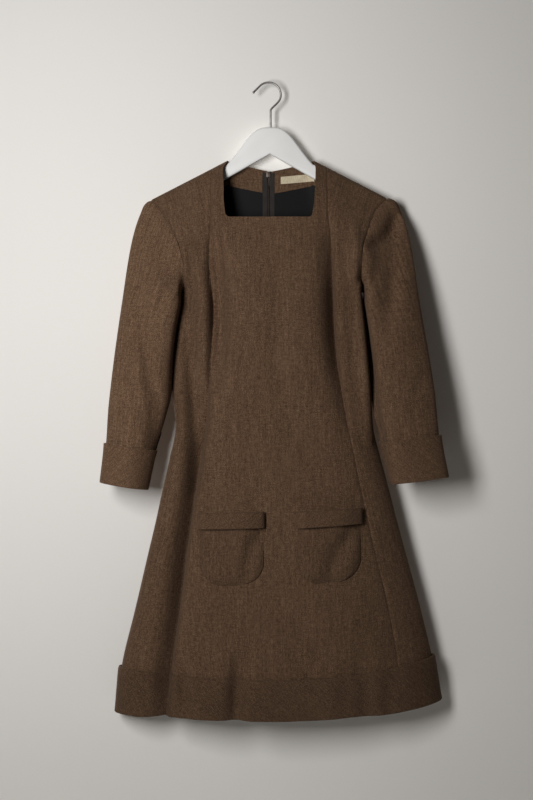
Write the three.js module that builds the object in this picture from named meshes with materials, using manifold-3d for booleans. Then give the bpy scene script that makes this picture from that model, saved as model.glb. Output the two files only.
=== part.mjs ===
// An A-line dress of wool tweed on a flat hanger, in millimetres.
// +Z is up and the dress faces -Y. Left and right are the viewer's, so the left sleeve is at -X.
// The origin is the highest point inside the hook, where a rail or a peg carries the hanger.
// The body is a front and a back sheet. A level is a height on the centre front: above the
// underarm the rows fan out from it to the sloping shoulders, and at the hem they rise to the sides.
import * as THREE from "three";
import { mergeVertices } from "three/addons/utils/BufferGeometryUtils.js";
import Module from "manifold-3d";

// Driving sizes
const cloth = 1.8; // tweed
const doubled = 2.4; // turned-up bands
const liningCloth = 1.0;
const gap = 0.3; // between pieces at a seam
const neckMiddle = 3.5; // the dress hangs a little to the right of its hook
const neckHalf = 70; // half the neck's width on the shoulder ridge
const neckLevel = -125.5;
const shoulderSlope = 0.515; // drop for each millimetre outwards
const ridgeRadius = 8.5; // the cloth's turn over the hanger's arms
const ridgeEase = 40; // how soon the cloth leaves the ridge's thickness
const ridgeReach = 120; // below the ridge, where its shape ends
const cornerTurn = 2.5; // how fast the neckline steps off the ridge
const underarmLevel = -340;
const neckBottomLevel = -222.5;
const backNeckDrop = 16;
const backNeckPower = 1.15;
const zipTopLevel = -128.7;
const facingTopLevel = -135.5;
const facingLevel = -164.5;
const liningLevel = -307;
const zipEndLevel = -640;
const bandTopLevel = -954.5;
const hemLevel = -1018;
const hemTurn = 3; // the band reaches this far below the skirt's own edge
const bandStand = [1.4, 0.5, 0.3]; // the band's distance from the skirt, from its top edge down
const cuffStand = [1.0, 0.4];
const frontSquareness = 2.4; // exponents of the sections: 2 is an ellipse
const backSquareness = 3.4;
const cuspPower = 1.3;

// Edges of the body at each level: armholes above the underarm, side seams below it.
// The rises say how far the row's ends stand above its middle.
const outline = [
  { level: -125.5, left: -192, right: 192, leftRise: 0, rightRise: 0 },
  { level: -138, left: -184.5, right: 186.5, leftRise: 0, rightRise: 0 },
  { level: -150, left: -178.5, right: 180, leftRise: 0, rightRise: 0 },
  { level: -176, left: -168.5, right: 170, leftRise: 0, rightRise: 0 },
  { level: -222, left: -152, right: 158, leftRise: 0, rightRise: 0 },
  { level: -262, left: -141, right: 149.5, leftRise: 0, rightRise: 0 },
  { level: -307, left: -134.5, right: 147.5, leftRise: 0, rightRise: 0 },
  { level: -340, left: -137.5, right: 149.5, leftRise: 0, rightRise: 0 },
  { level: -394, left: -145.5, right: 155, leftRise: 0, rightRise: 0 },
  { level: -502, left: -155, right: 165, leftRise: 0, rightRise: 0 },
  { level: -555, left: -150.5, right: 168.5, leftRise: 0, rightRise: 0 },
  { level: -608, left: -160, right: 181, leftRise: 0, rightRise: 1 },
  { level: -650, left: -169.5, right: 192, leftRise: 1, rightRise: 3 },
  { level: -722, left: -185, right: 210, leftRise: 3, rightRise: 7 },
  { level: -792, left: -201, right: 227, leftRise: 5, rightRise: 13 },
  { level: -870, left: -219, right: 246, leftRise: 7.5, rightRise: 20 },
  { level: -954.5, left: -238, right: 264.5, leftRise: 10.5, rightRise: 29 },
  { level: -1020, left: -247, right: 279, leftRise: 6, rightRise: 27 },
];

// Y of each sheet on the centre line and of the side seam. The hole is half the armhole's width.
// The ease shapes how fast the cloth turns from the side towards the middle.
const depths = [
  { level: -125.5, front: -34, back: 13, side: -1.5, hole: 10.5, ease: 0.95 },
  { level: -222, front: -54, back: 17, side: -13, hole: 25, ease: 0.9 },
  { level: -280, front: -67, back: 18, side: -18.5, hole: 27, ease: 0.75 },
  { level: -307, front: -72, back: 18, side: -22, hole: 23.5, ease: 0.65 },
  { level: -327, front: -75, back: 18, side: -25, hole: 15, ease: 0.57 },
  { level: -340, front: -77, back: 18, side: -28, hole: 0, ease: 0.5 },
  { level: -408, front: -80, back: 17, side: -27, hole: 0, ease: 0.5 },
  { level: -500, front: -76, back: 14, side: -23, hole: 0, ease: 0.5 },
  { level: -552, front: -72, back: 13, side: -20, hole: 0, ease: 0.5 },
  { level: -620, front: -73, back: 15, side: -17, hole: 0, ease: 0.5 },
  { level: -728, front: -78, back: 17, side: -13, hole: 0, ease: 0.5 },
  { level: -857, front: -84, back: 17, side: -10, hole: 0, ease: 0.5 },
  { level: -1020, front: -90, back: 17, side: -8, hole: 0, ease: 0.5 },
];

// The left princess seam, and the fold that lies in it: depth, and reach to each side.
const leftSeam = [
  { level: -125.5, x: -93, depth: 0, outer: 9, inner: 7 },
  { level: -200, x: -94, depth: 1, outer: 9, inner: 7 },
  { level: -248, x: -95, depth: 3, outer: 9, inner: 7 },
  { level: -284, x: -96, depth: 8, outer: 9, inner: 7 },
  { level: -326, x: -92.5, depth: 18, outer: 9, inner: 7 },
  { level: -373, x: -88.8, depth: 21, outer: 10, inner: 8 },
  { level: -446, x: -92, depth: 15, outer: 12, inner: 9 },
  { level: -500, x: -95.5, depth: 11, outer: 15, inner: 10 },
  { level: -552, x: -100.5, depth: 15, outer: 18, inner: 7 },
  { level: -606, x: -109, depth: 22, outer: 20, inner: 5 },
  { level: -678, x: -121, depth: 25, outer: 22, inner: 4 },
  { level: -757, x: -132.5, depth: 25, outer: 22, inner: 4 },
  { level: -838, x: -142.2, depth: 23, outer: 22, inner: 5 },
  { level: -930, x: -154.4, depth: 15, outer: 22, inner: 9 },
  { level: -1020, x: -163, depth: 8, outer: 20, inner: 14 },
];
const rightSeam = [
  { level: -125.5, x: 94.8, depth: 0, outer: 6, inner: 14 },
  { level: -200, x: 94.8, depth: 2, outer: 6, inner: 14 },
  { level: -248, x: 98.5, depth: 6, outer: 6, inner: 14 },
  { level: -300, x: 100.5, depth: 12, outer: 6, inner: 14 },
  { level: -356, x: 102.4, depth: 17, outer: 6, inner: 15 },
  { level: -402, x: 104.3, depth: 16, outer: 6, inner: 16 },
  { level: -452, x: 108.4, depth: 12, outer: 7, inner: 16 },
  { level: -489, x: 114.4, depth: 6, outer: 9, inner: 16 },
  { level: -538, x: 122.5, depth: 2.5, outer: 12, inner: 16 },
  { level: -605, x: 136.5, depth: 1.5, outer: 14, inner: 16 },
  { level: -681, x: 151.8, depth: 1.5, outer: 14, inner: 16 },
  { level: -765, x: 170.2, depth: 1.5, outer: 14, inner: 16 },
  { level: -848, x: 189, depth: 2, outer: 14, inner: 16 },
  { level: -944, x: 204.5, depth: 2, outer: 14, inner: 16 },
  { level: -1020, x: 213, depth: 1, outer: 14, inner: 16 },
];

// The neckline's sides, and below it the mesh columns that carry on from them.
const neckEdge = [
  { level: -125.5, left: -66.5, right: 73.5 },
  { level: -138, left: -73.3, right: 76.5 },
  { level: -163, left: -72.4, right: 75.5 },
  { level: -189, left: -71.8, right: 74 },
  { level: -212, left: -69.5, right: 71 },
  { level: -222.5, left: -61, right: 63 },
  { level: -300, left: -60, right: 64 },
  { level: -500, left: -58, right: 62 },
  { level: -954.5, left: -82, right: 104 },
  { level: -1020, left: -84, right: 108 },
];

// Soft waves of the skirt: x at the top and the bottom of each, and its reach, depth and span.
const waves = [
  { sheet: "front", xTop: -132, xBottom: -150, reach: 13, depth: 6, top: -890, bottom: -1020 },
  { sheet: "front", xTop: -42, xBottom: -56, reach: 17, depth: 9, top: -880, bottom: -1020 },
  { sheet: "front", xTop: 60, xBottom: 64, reach: 34, depth: 3, top: -800, bottom: -1020 },
  { sheet: "front", xTop: 138, xBottom: 150, reach: 22, depth: 5, top: -870, bottom: -1020 },
  { sheet: "back", xTop: -70, xBottom: -105, reach: 26, depth: -8, top: -620, bottom: -1020 },
  { sheet: "back", xTop: 80, xBottom: 120, reach: 26, depth: -8, top: -620, bottom: -1020 },
];

// Sections of each sleeve below its cap: outer and inner x, centre y, half depth and
// the lean of the section's plane.
const sleeveSections = {
  left: [
    { z: -362, outer: -235.5, inner: -141, y: -32, depth: 44, lean: 0 },
    { z: -408, outer: -242, inner: -149.5, y: -33, depth: 44, lean: 0.02 },
    { z: -452, outer: -248, inner: -154, y: -34, depth: 43, lean: 0.05 },
    { z: -500, outer: -253.5, inner: -156.5, y: -35, depth: 42, lean: 0.09 },
    { z: -537, outer: -257, inner: -165, y: -37, depth: 41, lean: 0.12 },
    { z: -589, outer: -260, inner: -181.5, y: -39, depth: 38, lean: 0.14 },
    { z: -652, outer: -267, inner: -195, y: -42, depth: 36, lean: 0.155 },
  ],
  right: [
    { z: -362, outer: 242.5, inner: 154, y: -30, depth: 41, lean: 0 },
    { z: -408, outer: 250.5, inner: 161, y: -32, depth: 41, lean: -0.02 },
    { z: -456, outer: 258, inner: 167.5, y: -37, depth: 40, lean: -0.05 },
    { z: -515, outer: 265.5, inner: 173.5, y: -45, depth: 38, lean: -0.09 },
    { z: -575, outer: 270.5, inner: 184.5, y: -54, depth: 35, lean: -0.12 },
    { z: -643, outer: 282.5, inner: 196.5, y: -60, depth: 33, lean: -0.125 },
  ],
};
const cuffs = {
  left: { top: -589, bottom: -652, sleeveEnd: -649 },
  right: { top: -575, bottom: -642, sleeveEnd: -639 },
};
// The cap leaves the armhole along leave, in x and z, and comes into the arm along the arm. Its
// shares are the rings between the two, and the pulls say how long each direction holds.
const cap = {
  leave: { left: { x: -0.8, z: -0.6 }, right: { x: 0.98, z: -0.2 } },
  leavePull: 0.62,
  arrivePull: 0.8,
  shares: [0, 0.1, 0.27, 0.5, 0.76],
};
const armRings = 6;
const armholeStep = 3; // back along the panel, to find the way it leaves at the armhole

const pockets = {
  left: { centre: -58.5, top: -692.5, bottom: -806.5, half: 50, tilt: 0.04 },
  right: { centre: 95, top: -689.5, bottom: -804, half: 49.5, tilt: 0.035 },
};
const pocketCorner = 35;
const pocketLift = 1.0; // between the panel and the pocket
const pocketBand = { height: 26, overhang: 2 };
const pocketAcross = [-1, -0.8, -0.5, -0.25, 0, 0.25, 0.5, 0.8, 1]; // columns, as shares of the half
const pocketUpperRows = [0, 13, 26, 52]; // below the mouth
const pocketLowerRows = [35, 24, 12, 4, 0]; // above the bottom

const neckFacing = { top: facingTopLevel, bottom: facingLevel };
const backLining = { top: facingLevel - gap, bottom: liningLevel };
const label = { top: -138, height: 12.5, tilt: 0.13, thickness: 0.5 };
const zip = {
  top: zipTopLevel,
  chainTop: -136.3,
  bottom: zipEndLevel,
  chainWidth: 3.6,
  thickness: 0.8,
  chainThickness: 1.8,
};
const zipMouth = { width: 3.4, length: 18 }; // the back panels part above the slider
const slider = {
  half: 3.6,
  neck: 1,
  height: 9,
  plate: 1.1,
  bar: 0.7,
  barRise: 1.9,
  post: 1.6, // from the hinge to each post's near and far side
  postEnd: 3.4,
};
const pull = {
  length: 24,
  half: 3,
  tip: 2.2,
  thickness: 1,
  hingeRise: 0.95,
  eyeHalf: 1.2,
  eyeLength: 4.9,
  shoulder: 6,
};

const hanger = {
  middle: 2.5,
  thickness: 10,
  edge: 3,
  underRidge: 3.8, // below the cloth's outer ridge
  apexZ: -115,
  armHeight: 26,
  taper: 0.05,
  armTopStart: 80,
  armFootStart: 75,
  armEnd: 172,
  endOut: 5, // the rounded end: its furthest point, and how far its foot stands back
  endDrop: 9,
  endBack: 2,
};
// The hanger's bell-shaped crown, from the middle outwards.
const crown = [
  { x: 13, z: -72 },
  { x: 20, z: -74 },
  { x: 32, z: -85.5 },
  { x: 49, z: -107 },
  { x: 65, z: -127.5 },
];
const wireRadius = 1.5;
const hook = {
  stem: 3.5,
  bend: -43,
  radius: 20,
  startAngle: -0.35,
  endAngle: 2.36,
  arcSteps: 12,
  wireSteps: 34,
  tip: 13,
};

// Tables are read smoothly: cubic pieces that never overshoot their rows.
function read(table, key, at) {
  const down = table[0][key] > table[table.length - 1][key];
  const rows = down ? [...table].reverse() : table;
  const place = Math.min(Math.max(at, rows[0][key]), rows[rows.length - 1][key]);
  let i = 0;
  while (i < rows.length - 2 && place > rows[i + 1][key]) i++;
  const span = rows[i + 1][key] - rows[i][key];
  const t = (place - rows[i][key]) / span;
  const out = {};
  for (const column of Object.keys(rows[0])) {
    const rate = (j) => (rows[j + 1][column] - rows[j][column]) / (rows[j + 1][key] - rows[j][key]);
    const slope = (j) => {
      if (j === 0) return rate(0);
      if (j === rows.length - 1) return rate(j - 1);
      const a = rate(j - 1);
      const b = rate(j);
      return a * b <= 0 ? 0 : (2 * a * b) / (a + b);
    };
    const from = rows[i][column];
    const to = rows[i + 1][column];
    out[column] =
      from * (1 + 2 * t) * (1 - t) ** 2 +
      to * t * t * (3 - 2 * t) +
      span * (slope(i) * t * (1 - t) ** 2 - slope(i + 1) * t * t * (1 - t));
  }
  return out;
}

const fromNeck = (x) => Math.abs(x - neckMiddle);
const ridge = (x) => neckLevel - shoulderSlope * (fromNeck(x) - neckHalf);
const smooth = (t) => t * t * (3 - 2 * t);
const clamp01 = (t) => Math.min(Math.max(t, 0), 1);

// The height of a sheet's upper edge over x.
function topOf(sheet, x) {
  const inside = fromNeck(x) < neckHalf;
  if (!inside) return ridge(x);
  if (sheet === "front") return neckLevel;
  return neckLevel - backNeckDrop * (1 - (fromNeck(x) / neckHalf) ** backNeckPower);
}

// How far the folds in the two princess seams pull the cloth back at x.
function foldAt(x, level) {
  const left = read(leftSeam, "level", level);
  const right = read(rightSeam, "level", level);
  const cusp = (distance, reach) => Math.exp(-((Math.abs(distance) / reach) ** cuspPower));
  return (
    left.depth * cusp(x - left.x, x < left.x ? left.outer : left.inner) +
    right.depth * cusp(x - right.x, x > right.x ? right.outer : right.inner)
  );
}

function waveAt(sheet, x, level) {
  let pull = 0;
  for (const w of waves) {
    if (w.sheet !== sheet) continue;
    const t = clamp01((w.top - level) / (w.top - w.bottom));
    const centre = w.xTop + (w.xBottom - w.xTop) * t;
    pull += w.depth * smooth(t) * Math.exp(-(((x - centre) / w.reach) ** 2));
  }
  return pull;
}

// A point of the body's outer surface.
function bodyPoint(sheet, x, level) {
  const o = read(outline, "level", level);
  const d = read(depths, "level", level);
  const middle = (o.left + o.right) / 2;
  const s = Math.min(Math.abs(x - middle) / ((o.right - o.left) / 2), 1);
  const front = sheet === "front";
  const share = (level - underarmLevel) / (neckLevel - underarmLevel);
  const rise = x < middle ? o.leftRise : o.rightRise;
  const fanned = underarmLevel + share * (topOf(sheet, x) - underarmLevel);
  const z = share > 0 ? fanned : level + rise * s * s;
  const crown = (1 - s ** (front ? frontSquareness : backSquareness)) ** d.ease;
  const edge = d.side + (front ? -d.hole : d.hole);
  const centre = front ? d.front : d.back;
  let y = edge + (centre - edge) * crown;
  if (share > 0) {
    const below = Math.max(ridge(x) - z, 0) + cornerTurn * Math.max(neckHalf - fromNeck(x), 0);
    const turn = ridgeRadius * Math.sqrt(1 - (1 - Math.min(below / ridgeRadius, 1)) ** 2);
    const away = 1 - Math.exp(-below / ridgeEase);
    const ridgeShare = smooth(clamp01(1 - below / ridgeReach));
    const closed = (front ? -1 : 1) * (turn + away * Math.max(Math.abs(y) - ridgeRadius, 0));
    y += (closed - y) * ridgeShare;
  }
  const inward = 1 - s ** 6;
  if (front) y += foldAt(x, level) * inward;
  y += waveAt(sheet, x, level) * inward;
  return new THREE.Vector3(x, y + (front ? -gap / 2 : gap / 2), z);
}

// The outward normal, averaged across a fold's crease. At a closed side it points straight out.
function bodyNormal(sheet, x, level) {
  const o = read(outline, "level", level);
  const step = 1.5;
  const down = Math.max(level - step, hemLevel - step);
  const up = Math.min(level + step, neckLevel);
  if (level <= underarmLevel + 1 && (x <= o.left + 0.01 || x >= o.right - 0.01)) {
    const side = x < 0 ? -1 : 1;
    const column = x < 0 ? "left" : "right";
    const flare = (read(outline, "level", down)[column] - read(outline, "level", up)[column]) * side;
    return new THREE.Vector3(side * (up - down), 0, flare).normalize();
  }
  if (level >= neckLevel - 0.01 && fromNeck(x) >= neckHalf - 0.01) {
    return new THREE.Vector3(Math.sign(x) * shoulderSlope, 0, 1).normalize();
  }
  const a = bodyPoint(sheet, Math.max(x - step, o.left), level);
  const b = bodyPoint(sheet, Math.min(x + step, o.right), level);
  const across = b.sub(a);
  const along = bodyPoint(sheet, x, up).sub(bodyPoint(sheet, x, down));
  const normal = across.cross(along).normalize();
  return sheet === "front" ? normal : normal.negate();
}

const bodyAt = (sheet, x, level, out) =>
  bodyPoint(sheet, x, level).addScaledVector(bodyNormal(sheet, x, level), out);

// A closed wall between two grids of points. keep says which cells are cloth, and a wrapped
// grid joins its last column to its first.
function wall(outer, inner, { keep = () => true, wrap = false } = {}) {
  const rows = outer.length;
  const columns = outer[0].length;
  const points = [...outer.flat(), ...inner.flat()];
  const cellColumns = wrap ? columns : columns - 1;
  const at = (j, i, layer) => layer * rows * columns + j * columns + (i % columns);
  const cell = (j, i) => {
    if (j < 0 || j >= rows - 1) return false;
    if (!wrap && (i < 0 || i >= cellColumns)) return false;
    return keep(j, (i + cellColumns) % cellColumns);
  };
  const triangles = [];
  const quad = (a, b, c, d) => triangles.push(a, b, c, a, c, d);
  const rim = (j, i, k, n) => quad(at(j, i, 0), at(k, n, 0), at(k, n, 1), at(j, i, 1));
  for (let j = 0; j < rows - 1; j++) {
    for (let i = 0; i < cellColumns; i++) {
      if (!cell(j, i)) continue;
      quad(at(j, i, 0), at(j + 1, i, 0), at(j + 1, i + 1, 0), at(j, i + 1, 0));
      quad(at(j, i, 1), at(j, i + 1, 1), at(j + 1, i + 1, 1), at(j + 1, i, 1));
      if (!cell(j - 1, i)) rim(j, i, j, i + 1);
      if (!cell(j + 1, i)) rim(j + 1, i + 1, j + 1, i);
      if (!cell(j, i - 1)) rim(j + 1, i, j, i);
      if (!cell(j, i + 1)) rim(j, i + 1, j + 1, i + 1);
    }
  }
  let volume = 0;
  for (let i = 0; i < triangles.length; i += 3) {
    const [a, b, c] = [0, 1, 2].map((k) => points[triangles[i + k]]);
    volume += a.dot(new THREE.Vector3().crossVectors(b, c));
  }
  if (volume < 0) triangles.reverse();
  const used = [...new Set(triangles)];
  const place = new Map(used.map((index, n) => [index, n]));
  const geometry = new THREE.BufferGeometry();
  geometry.setFromPoints(used.map((index) => points[index]));
  geometry.setIndex(triangles.map((index) => place.get(index)));
  geometry.computeVertexNormals();
  return geometry;
}

const tweed = new THREE.MeshStandardMaterial({ color: 0x513d30, roughness: 0.95, metalness: 0 });
const blackLining = new THREE.MeshStandardMaterial({ color: 0x1a1a1a, roughness: 0.6, metalness: 0 });
const zipTape = new THREE.MeshStandardMaterial({ color: 0x2e2724, roughness: 0.8, metalness: 0 });
const zipMetal = new THREE.MeshStandardMaterial({ color: 0x4a423c, roughness: 0.4, metalness: 1 });
const labelCloth = new THREE.MeshStandardMaterial({ color: 0xcfc3a4, roughness: 0.8, metalness: 0 });
const whitePaint = new THREE.MeshStandardMaterial({ color: 0xd2d1ce, roughness: 0.5, metalness: 0 });
const steel = new THREE.MeshStandardMaterial({ color: 0x7d7a76, roughness: 0.3, metalness: 1 });

const dress = new THREE.Group();
function add(name, geometry, material, parent = dress) {
  const mesh = new THREE.Mesh(geometry, material);
  mesh.name = name;
  parent.add(mesh);
  return mesh;
}

// Rows of the body from the shoulders to the hem, and columns as shares of the way
// between the outline, the seams, the neck's edges and the centre.
const yokeLevels = [
  ...[neckLevel, zipTopLevel, facingTopLevel, -147.5, facingLevel, -189, -212],
  ...[neckBottomLevel, -248, -280, liningLevel, -327, underarmLevel],
];
const lowerLevels = [
  ...[-380, -450, -525, -555, -598, zipEndLevel, -700, -775, -865],
  ...[bandTopLevel, -986, hemLevel],
];
const levels = [...yokeLevels, ...lowerLevels];
const neckRow = levels.indexOf(neckBottomLevel);
const edgeShares = [0, 0.06, 0.22, 0.5, 0.8, 1];
const strapShares = [0, 0.16, 0.4, 0.7, 1];
const middleShares = [0, 1 / 6, 1 / 3, 1 / 2, 2 / 3, 5 / 6, 1];
const backColumnsOf = (corner) => [9.8, 20, 40, 56, corner - 2, corner, 95];
const backInner = {
  left: backColumnsOf(neckHalf - neckMiddle),
  right: backColumnsOf(neckHalf + neckMiddle),
};
const backOuterShares = [0, 0.04, 0.18, 0.5];

const mix = (a, b, t) => a + (b - a) * t;
const flipped = (shares) => [...shares].reverse().map((t) => 1 - t);

function frontColumns(level) {
  const o = read(outline, "level", level);
  const leftX = read(leftSeam, "level", level).x;
  const rightX = read(rightSeam, "level", level).x;
  const neck = read(neckEdge, "level", level);
  return {
    left: edgeShares.map((t) => mix(o.left, leftX - gap / 2, t)),
    centre: [
      ...strapShares.map((t) => mix(leftX + gap / 2, neck.left, t)),
      ...middleShares.slice(1, -1).map((t) => mix(neck.left, neck.right, t)),
      ...flipped(strapShares).map((t) => mix(neck.right, rightX - gap / 2, t)),
    ],
    right: flipped(edgeShares).map((t) => mix(rightX + gap / 2, o.right, t)),
  };
}

function backColumns(level) {
  const o = read(outline, "level", level);
  const open = clamp01(1 - (neckLevel - backNeckDrop - level) / zipMouth.length);
  const half = gap / 2 + (zipMouth.width / 2) * smooth(open);
  const outwards = (sign, edge, inner) => [
    sign * half,
    ...inner.map((x) => sign * x),
    ...[...backOuterShares].reverse().map((t) => mix(edge, sign * inner[inner.length - 1], t)),
  ];
  return {
    left: outwards(-1, o.left, backInner.left).reverse(),
    right: outwards(1, o.right, backInner.right),
  };
}

// The two grids of a piece that lies on a sheet between two offsets from its outer face.
function layers(sheet, rows, columnsOf, outside, inside) {
  const row = (level, out) => columnsOf(level).map((x) => bodyAt(sheet, x, level, out));
  return [outside, inside].map((out) => rows.map((level) => row(level, out)));
}

function addBodyPanels() {
  const firstMiddle = strapShares.length - 1;
  const lastMiddle = firstMiddle + middleShares.length - 2;
  const belowNeck = (j, i) => j >= neckRow || i < firstMiddle || i > lastMiddle;
  const centre = layers("front", levels, (l) => frontColumns(l).centre, 0, -cloth);
  add("front_centre_panel", wall(...centre, { keep: belowNeck }), tweed);
  for (const side of ["left", "right"]) {
    const front = layers("front", levels, (l) => frontColumns(l)[side], 0, -cloth);
    add("front_side_panel_" + side, wall(...front), tweed);
    const back = layers("back", levels, (l) => backColumns(l)[side], 0, -cloth);
    add("back_panel_" + side, wall(...back), tweed);
  }
}

// The turned-up band lies on the skirt's own points, moved out, and closes below its edge.
function addHemBand() {
  const rows = levels.filter((l) => l <= bandTopLevel);
  for (const sheet of ["front", "back"]) {
    const columnsOf = (level) => {
      const front = frontColumns(level);
      const back = backColumns(level);
      return sheet === "front"
        ? [...front.left.slice(0, -1), ...front.centre, ...front.right.slice(1)]
        : [...back.left.slice(0, -1), 0, ...back.right.slice(1)];
    };
    const grid = (out) =>
      rows.map((level, j) =>
        columnsOf(level).map((x) => {
          const point = bodyAt(sheet, x, level, out + bandStand[j]);
          point.z -= j === rows.length - 1 ? hemTurn : 0;
          return point;
        }),
      );
    add("hem_band_" + sheet, wall(grid(gap + doubled), grid(gap)), tweed);
  }
}

// The armhole's loop of panel edges, from the shoulder down the front and up the back.
function armhole(side) {
  const sign = side === "left" ? -1 : 1;
  const edge = (sheet, level, out) => {
    const x = read(outline, "level", level)[side];
    const point = bodyAt(sheet, x, level, out);
    const before = bodyAt(sheet, x - sign * armholeStep, level, out);
    const leave = point.clone().sub(before).normalize();
    return point.addScaledVector(leave, gap);
  };
  const loop = (out) => {
    const front = yokeLevels.map((level) => edge("front", level, out));
    const back = yokeLevels.map((level) => edge("back", level, out));
    const last = yokeLevels.length - 1;
    const top = front[0].clone().add(back[0]).multiplyScalar(0.5);
    const bottom = front[last].clone().add(back[last]).multiplyScalar(0.5);
    top.x += sign * gap;
    bottom.x += sign * gap * 2;
    return [top, ...front.slice(1, last), bottom, ...back.slice(1, last).reverse()];
  };
  return { outer: loop(0), inner: loop(-cloth), half: yokeLevels.length - 1 };
}

// Each ring point keeps one angle down the whole sleeve: 0 at the shoulder, pi at the underarm.
function ringAngles({ outer, half }) {
  const run = [0];
  for (let k = 1; k <= outer.length; k++) {
    run.push(run[k - 1] + outer[k % outer.length].distanceTo(outer[k - 1]));
  }
  return outer.map((_, k) =>
    k <= half
      ? (Math.PI * run[k]) / run[half]
      : Math.PI * (1 + (run[k] - run[half]) / (run[outer.length] - run[half])),
  );
}

// A point of a sleeve's section at height z, out millimetres outside its face.
function sleevePoint(side, angle, z, out) {
  const s = read(sleeveSections[side], "z", z);
  const centre = (s.outer + s.inner) / 2;
  const half = (s.outer - s.inner) / 2;
  const reach = half + Math.sign(half) * out;
  const dx = reach * Math.cos(angle);
  return new THREE.Vector3(centre + dx, s.y - (s.depth + out) * Math.sin(angle), z - s.lean * dx);
}

function sleeveGrid(side, out) {
  const hole = armhole(side);
  const angles = ringAngles(hole);
  const start = out < 0 ? hole.inner : hole.outer;
  const first = sleeveSections[side][0].z;
  const leave = new THREE.Vector3(cap.leave[side].x, 0, cap.leave[side].z);
  const upper = cap.shares.map((t) =>
    angles.map((angle, k) => {
      const from = start[k];
      const to = sleevePoint(side, angle, first, out);
      const length = from.distanceTo(to);
      const arrive = sleevePoint(side, angle, first - armholeStep, out).sub(to).normalize();
      const h = smooth(t);
      return from
        .clone()
        .lerp(to, h)
        .addScaledVector(leave, length * cap.leavePull * t * (1 - t) ** 2)
        .addScaledVector(arrive, -length * cap.arrivePull * t * t * (1 - t));
    }),
  );
  const end = cuffs[side].sleeveEnd;
  const lower = Array.from({ length: armRings + 1 }, (_, j) => mix(first, end, j / armRings));
  return [...upper, ...lower.map((z) => angles.map((angle) => sleevePoint(side, angle, z, out)))];
}

function addSleeves() {
  for (const side of ["left", "right"]) {
    add("sleeve_" + side, wall(sleeveGrid(side, 0), sleeveGrid(side, -cloth), { wrap: true }), tweed);
    const { top, bottom } = cuffs[side];
    const angles = ringAngles(armhole(side));
    const ring = (z, out) => angles.map((angle) => sleevePoint(side, angle, z, out));
    const grid = (out) => [top, bottom].map((z, j) => ring(z, out + cuffStand[j]));
    add("cuff_" + side, wall(grid(gap + doubled), grid(gap), { wrap: true }), tweed);
  }
}

// Patch pockets with round lower corners, and the folded band across each mouth.
function addPockets() {
  for (const side of ["left", "right"]) {
    const p = pockets[side];
    const height = p.top - p.bottom;
    const halfAt = (drop) => {
      const inCorner = Math.max(pocketCorner - (height - drop), 0);
      return p.half - pocketCorner + Math.sqrt(pocketCorner ** 2 - inCorner ** 2);
    };
    const at = (x, drop, out) => bodyAt("front", x, p.top - drop + p.tilt * (x - p.centre), out);
    const drops = [...pocketUpperRows, ...pocketLowerRows.map((rise) => height - rise)];
    const grid = (rows, xAt, out) =>
      rows.map((drop) => pocketAcross.map((share) => at(p.centre + xAt(share, drop), drop, out)));
    const bag = (out) => grid(drops, (share, drop) => share * halfAt(drop), out);
    add("pocket_" + side, wall(bag(pocketLift + cloth), bag(pocketLift)), tweed);
    const under = pocketLift + cloth + gap;
    const bandRows = pocketUpperRows.filter((drop) => drop <= pocketBand.height);
    const reach = (share) => share * (p.half + (Math.abs(share) === 1 ? pocketBand.overhang : 0));
    const band = (out) => grid(bandRows, reach, out);
    add("pocket_band_" + side, wall(band(under + doubled), band(under)), tweed);
  }
}

// Inside the back: the neck facing, the lining below it, the label and the zip. All of them
// lie on the back panels' own columns and rows, moved inwards.
function addInsideBack() {
  const inside = -cloth - gap;
  const strip = (xs, rows, thickness) =>
    wall(...layers("back", rows, () => xs, inside, inside - thickness));
  const chainHalf = zip.chainWidth / 2;
  for (const [side, sign] of [["left", -1], ["right", 1]]) {
    const signed = (xs) => xs.map((x) => sign * x);
    const [tapeEdge, ...columns] = backInner[side];
    const lining = signed([tapeEdge + gap, ...columns]);
    const facing = lining.slice(0, -1);
    const tape = signed([chainHalf + gap, tapeEdge]);
    add("neck_facing_" + side, strip(facing, rowsBetween(neckFacing), liningCloth), tweed);
    add("back_lining_" + side, strip(lining, rowsBetween(backLining), liningCloth), blackLining);
    add("zip_tape_" + side, strip(tape, rowsBetween(zip), zip.thickness), zipTape);
  }
  const chainRows = rowsBetween({ top: zip.chainTop, bottom: zip.bottom });
  add("zip_chain", strip([-chainHalf, chainHalf], chainRows, zip.chainThickness), zipTape);
  const labelColumns = backInner.right.slice(1, -2);
  const labelInside = inside - liningCloth - 2 * gap;
  const labelTop = (x) => label.top - label.tilt * (x - labelColumns[0]);
  const labelGrid = (out) =>
    [0, label.height].map((drop) =>
      labelColumns.map((x) => bodyAt("back", x, labelTop(x) - drop, out)),
    );
  add("label", wall(labelGrid(labelInside), labelGrid(labelInside - label.thickness)), labelCloth);
}

// The body's rows between two levels, with both ends.
function rowsBetween({ top, bottom }) {
  return [top, ...levels.filter((level) => level < top && level > bottom), bottom];
}

// manifold-3d only joins pieces that touch, so that each is one closed body.
const wasm = await Module();
wasm.setup();

function solid(geometry) {
  const bare = geometry.clone();
  for (const name of ["normal", "uv"]) bare.deleteAttribute(name);
  const merged = mergeVertices(bare, 1e-4);
  const triVerts = new Uint32Array(merged.index.array);
  const vertProperties = merged.attributes.position.array;
  return new wasm.Manifold(new wasm.Mesh({ numProp: 3, vertProperties, triVerts }));
}

function joined(...geometries) {
  const [first, ...rest] = geometries.map(solid);
  const mesh = rest.reduce((sum, next) => sum.add(next), first).getMesh();
  const geometry = new THREE.BufferGeometry();
  geometry.setAttribute("position", new THREE.BufferAttribute(mesh.vertProperties, 3));
  geometry.setIndex(new THREE.BufferAttribute(mesh.triVerts, 1));
  return geometry;
}

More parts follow.
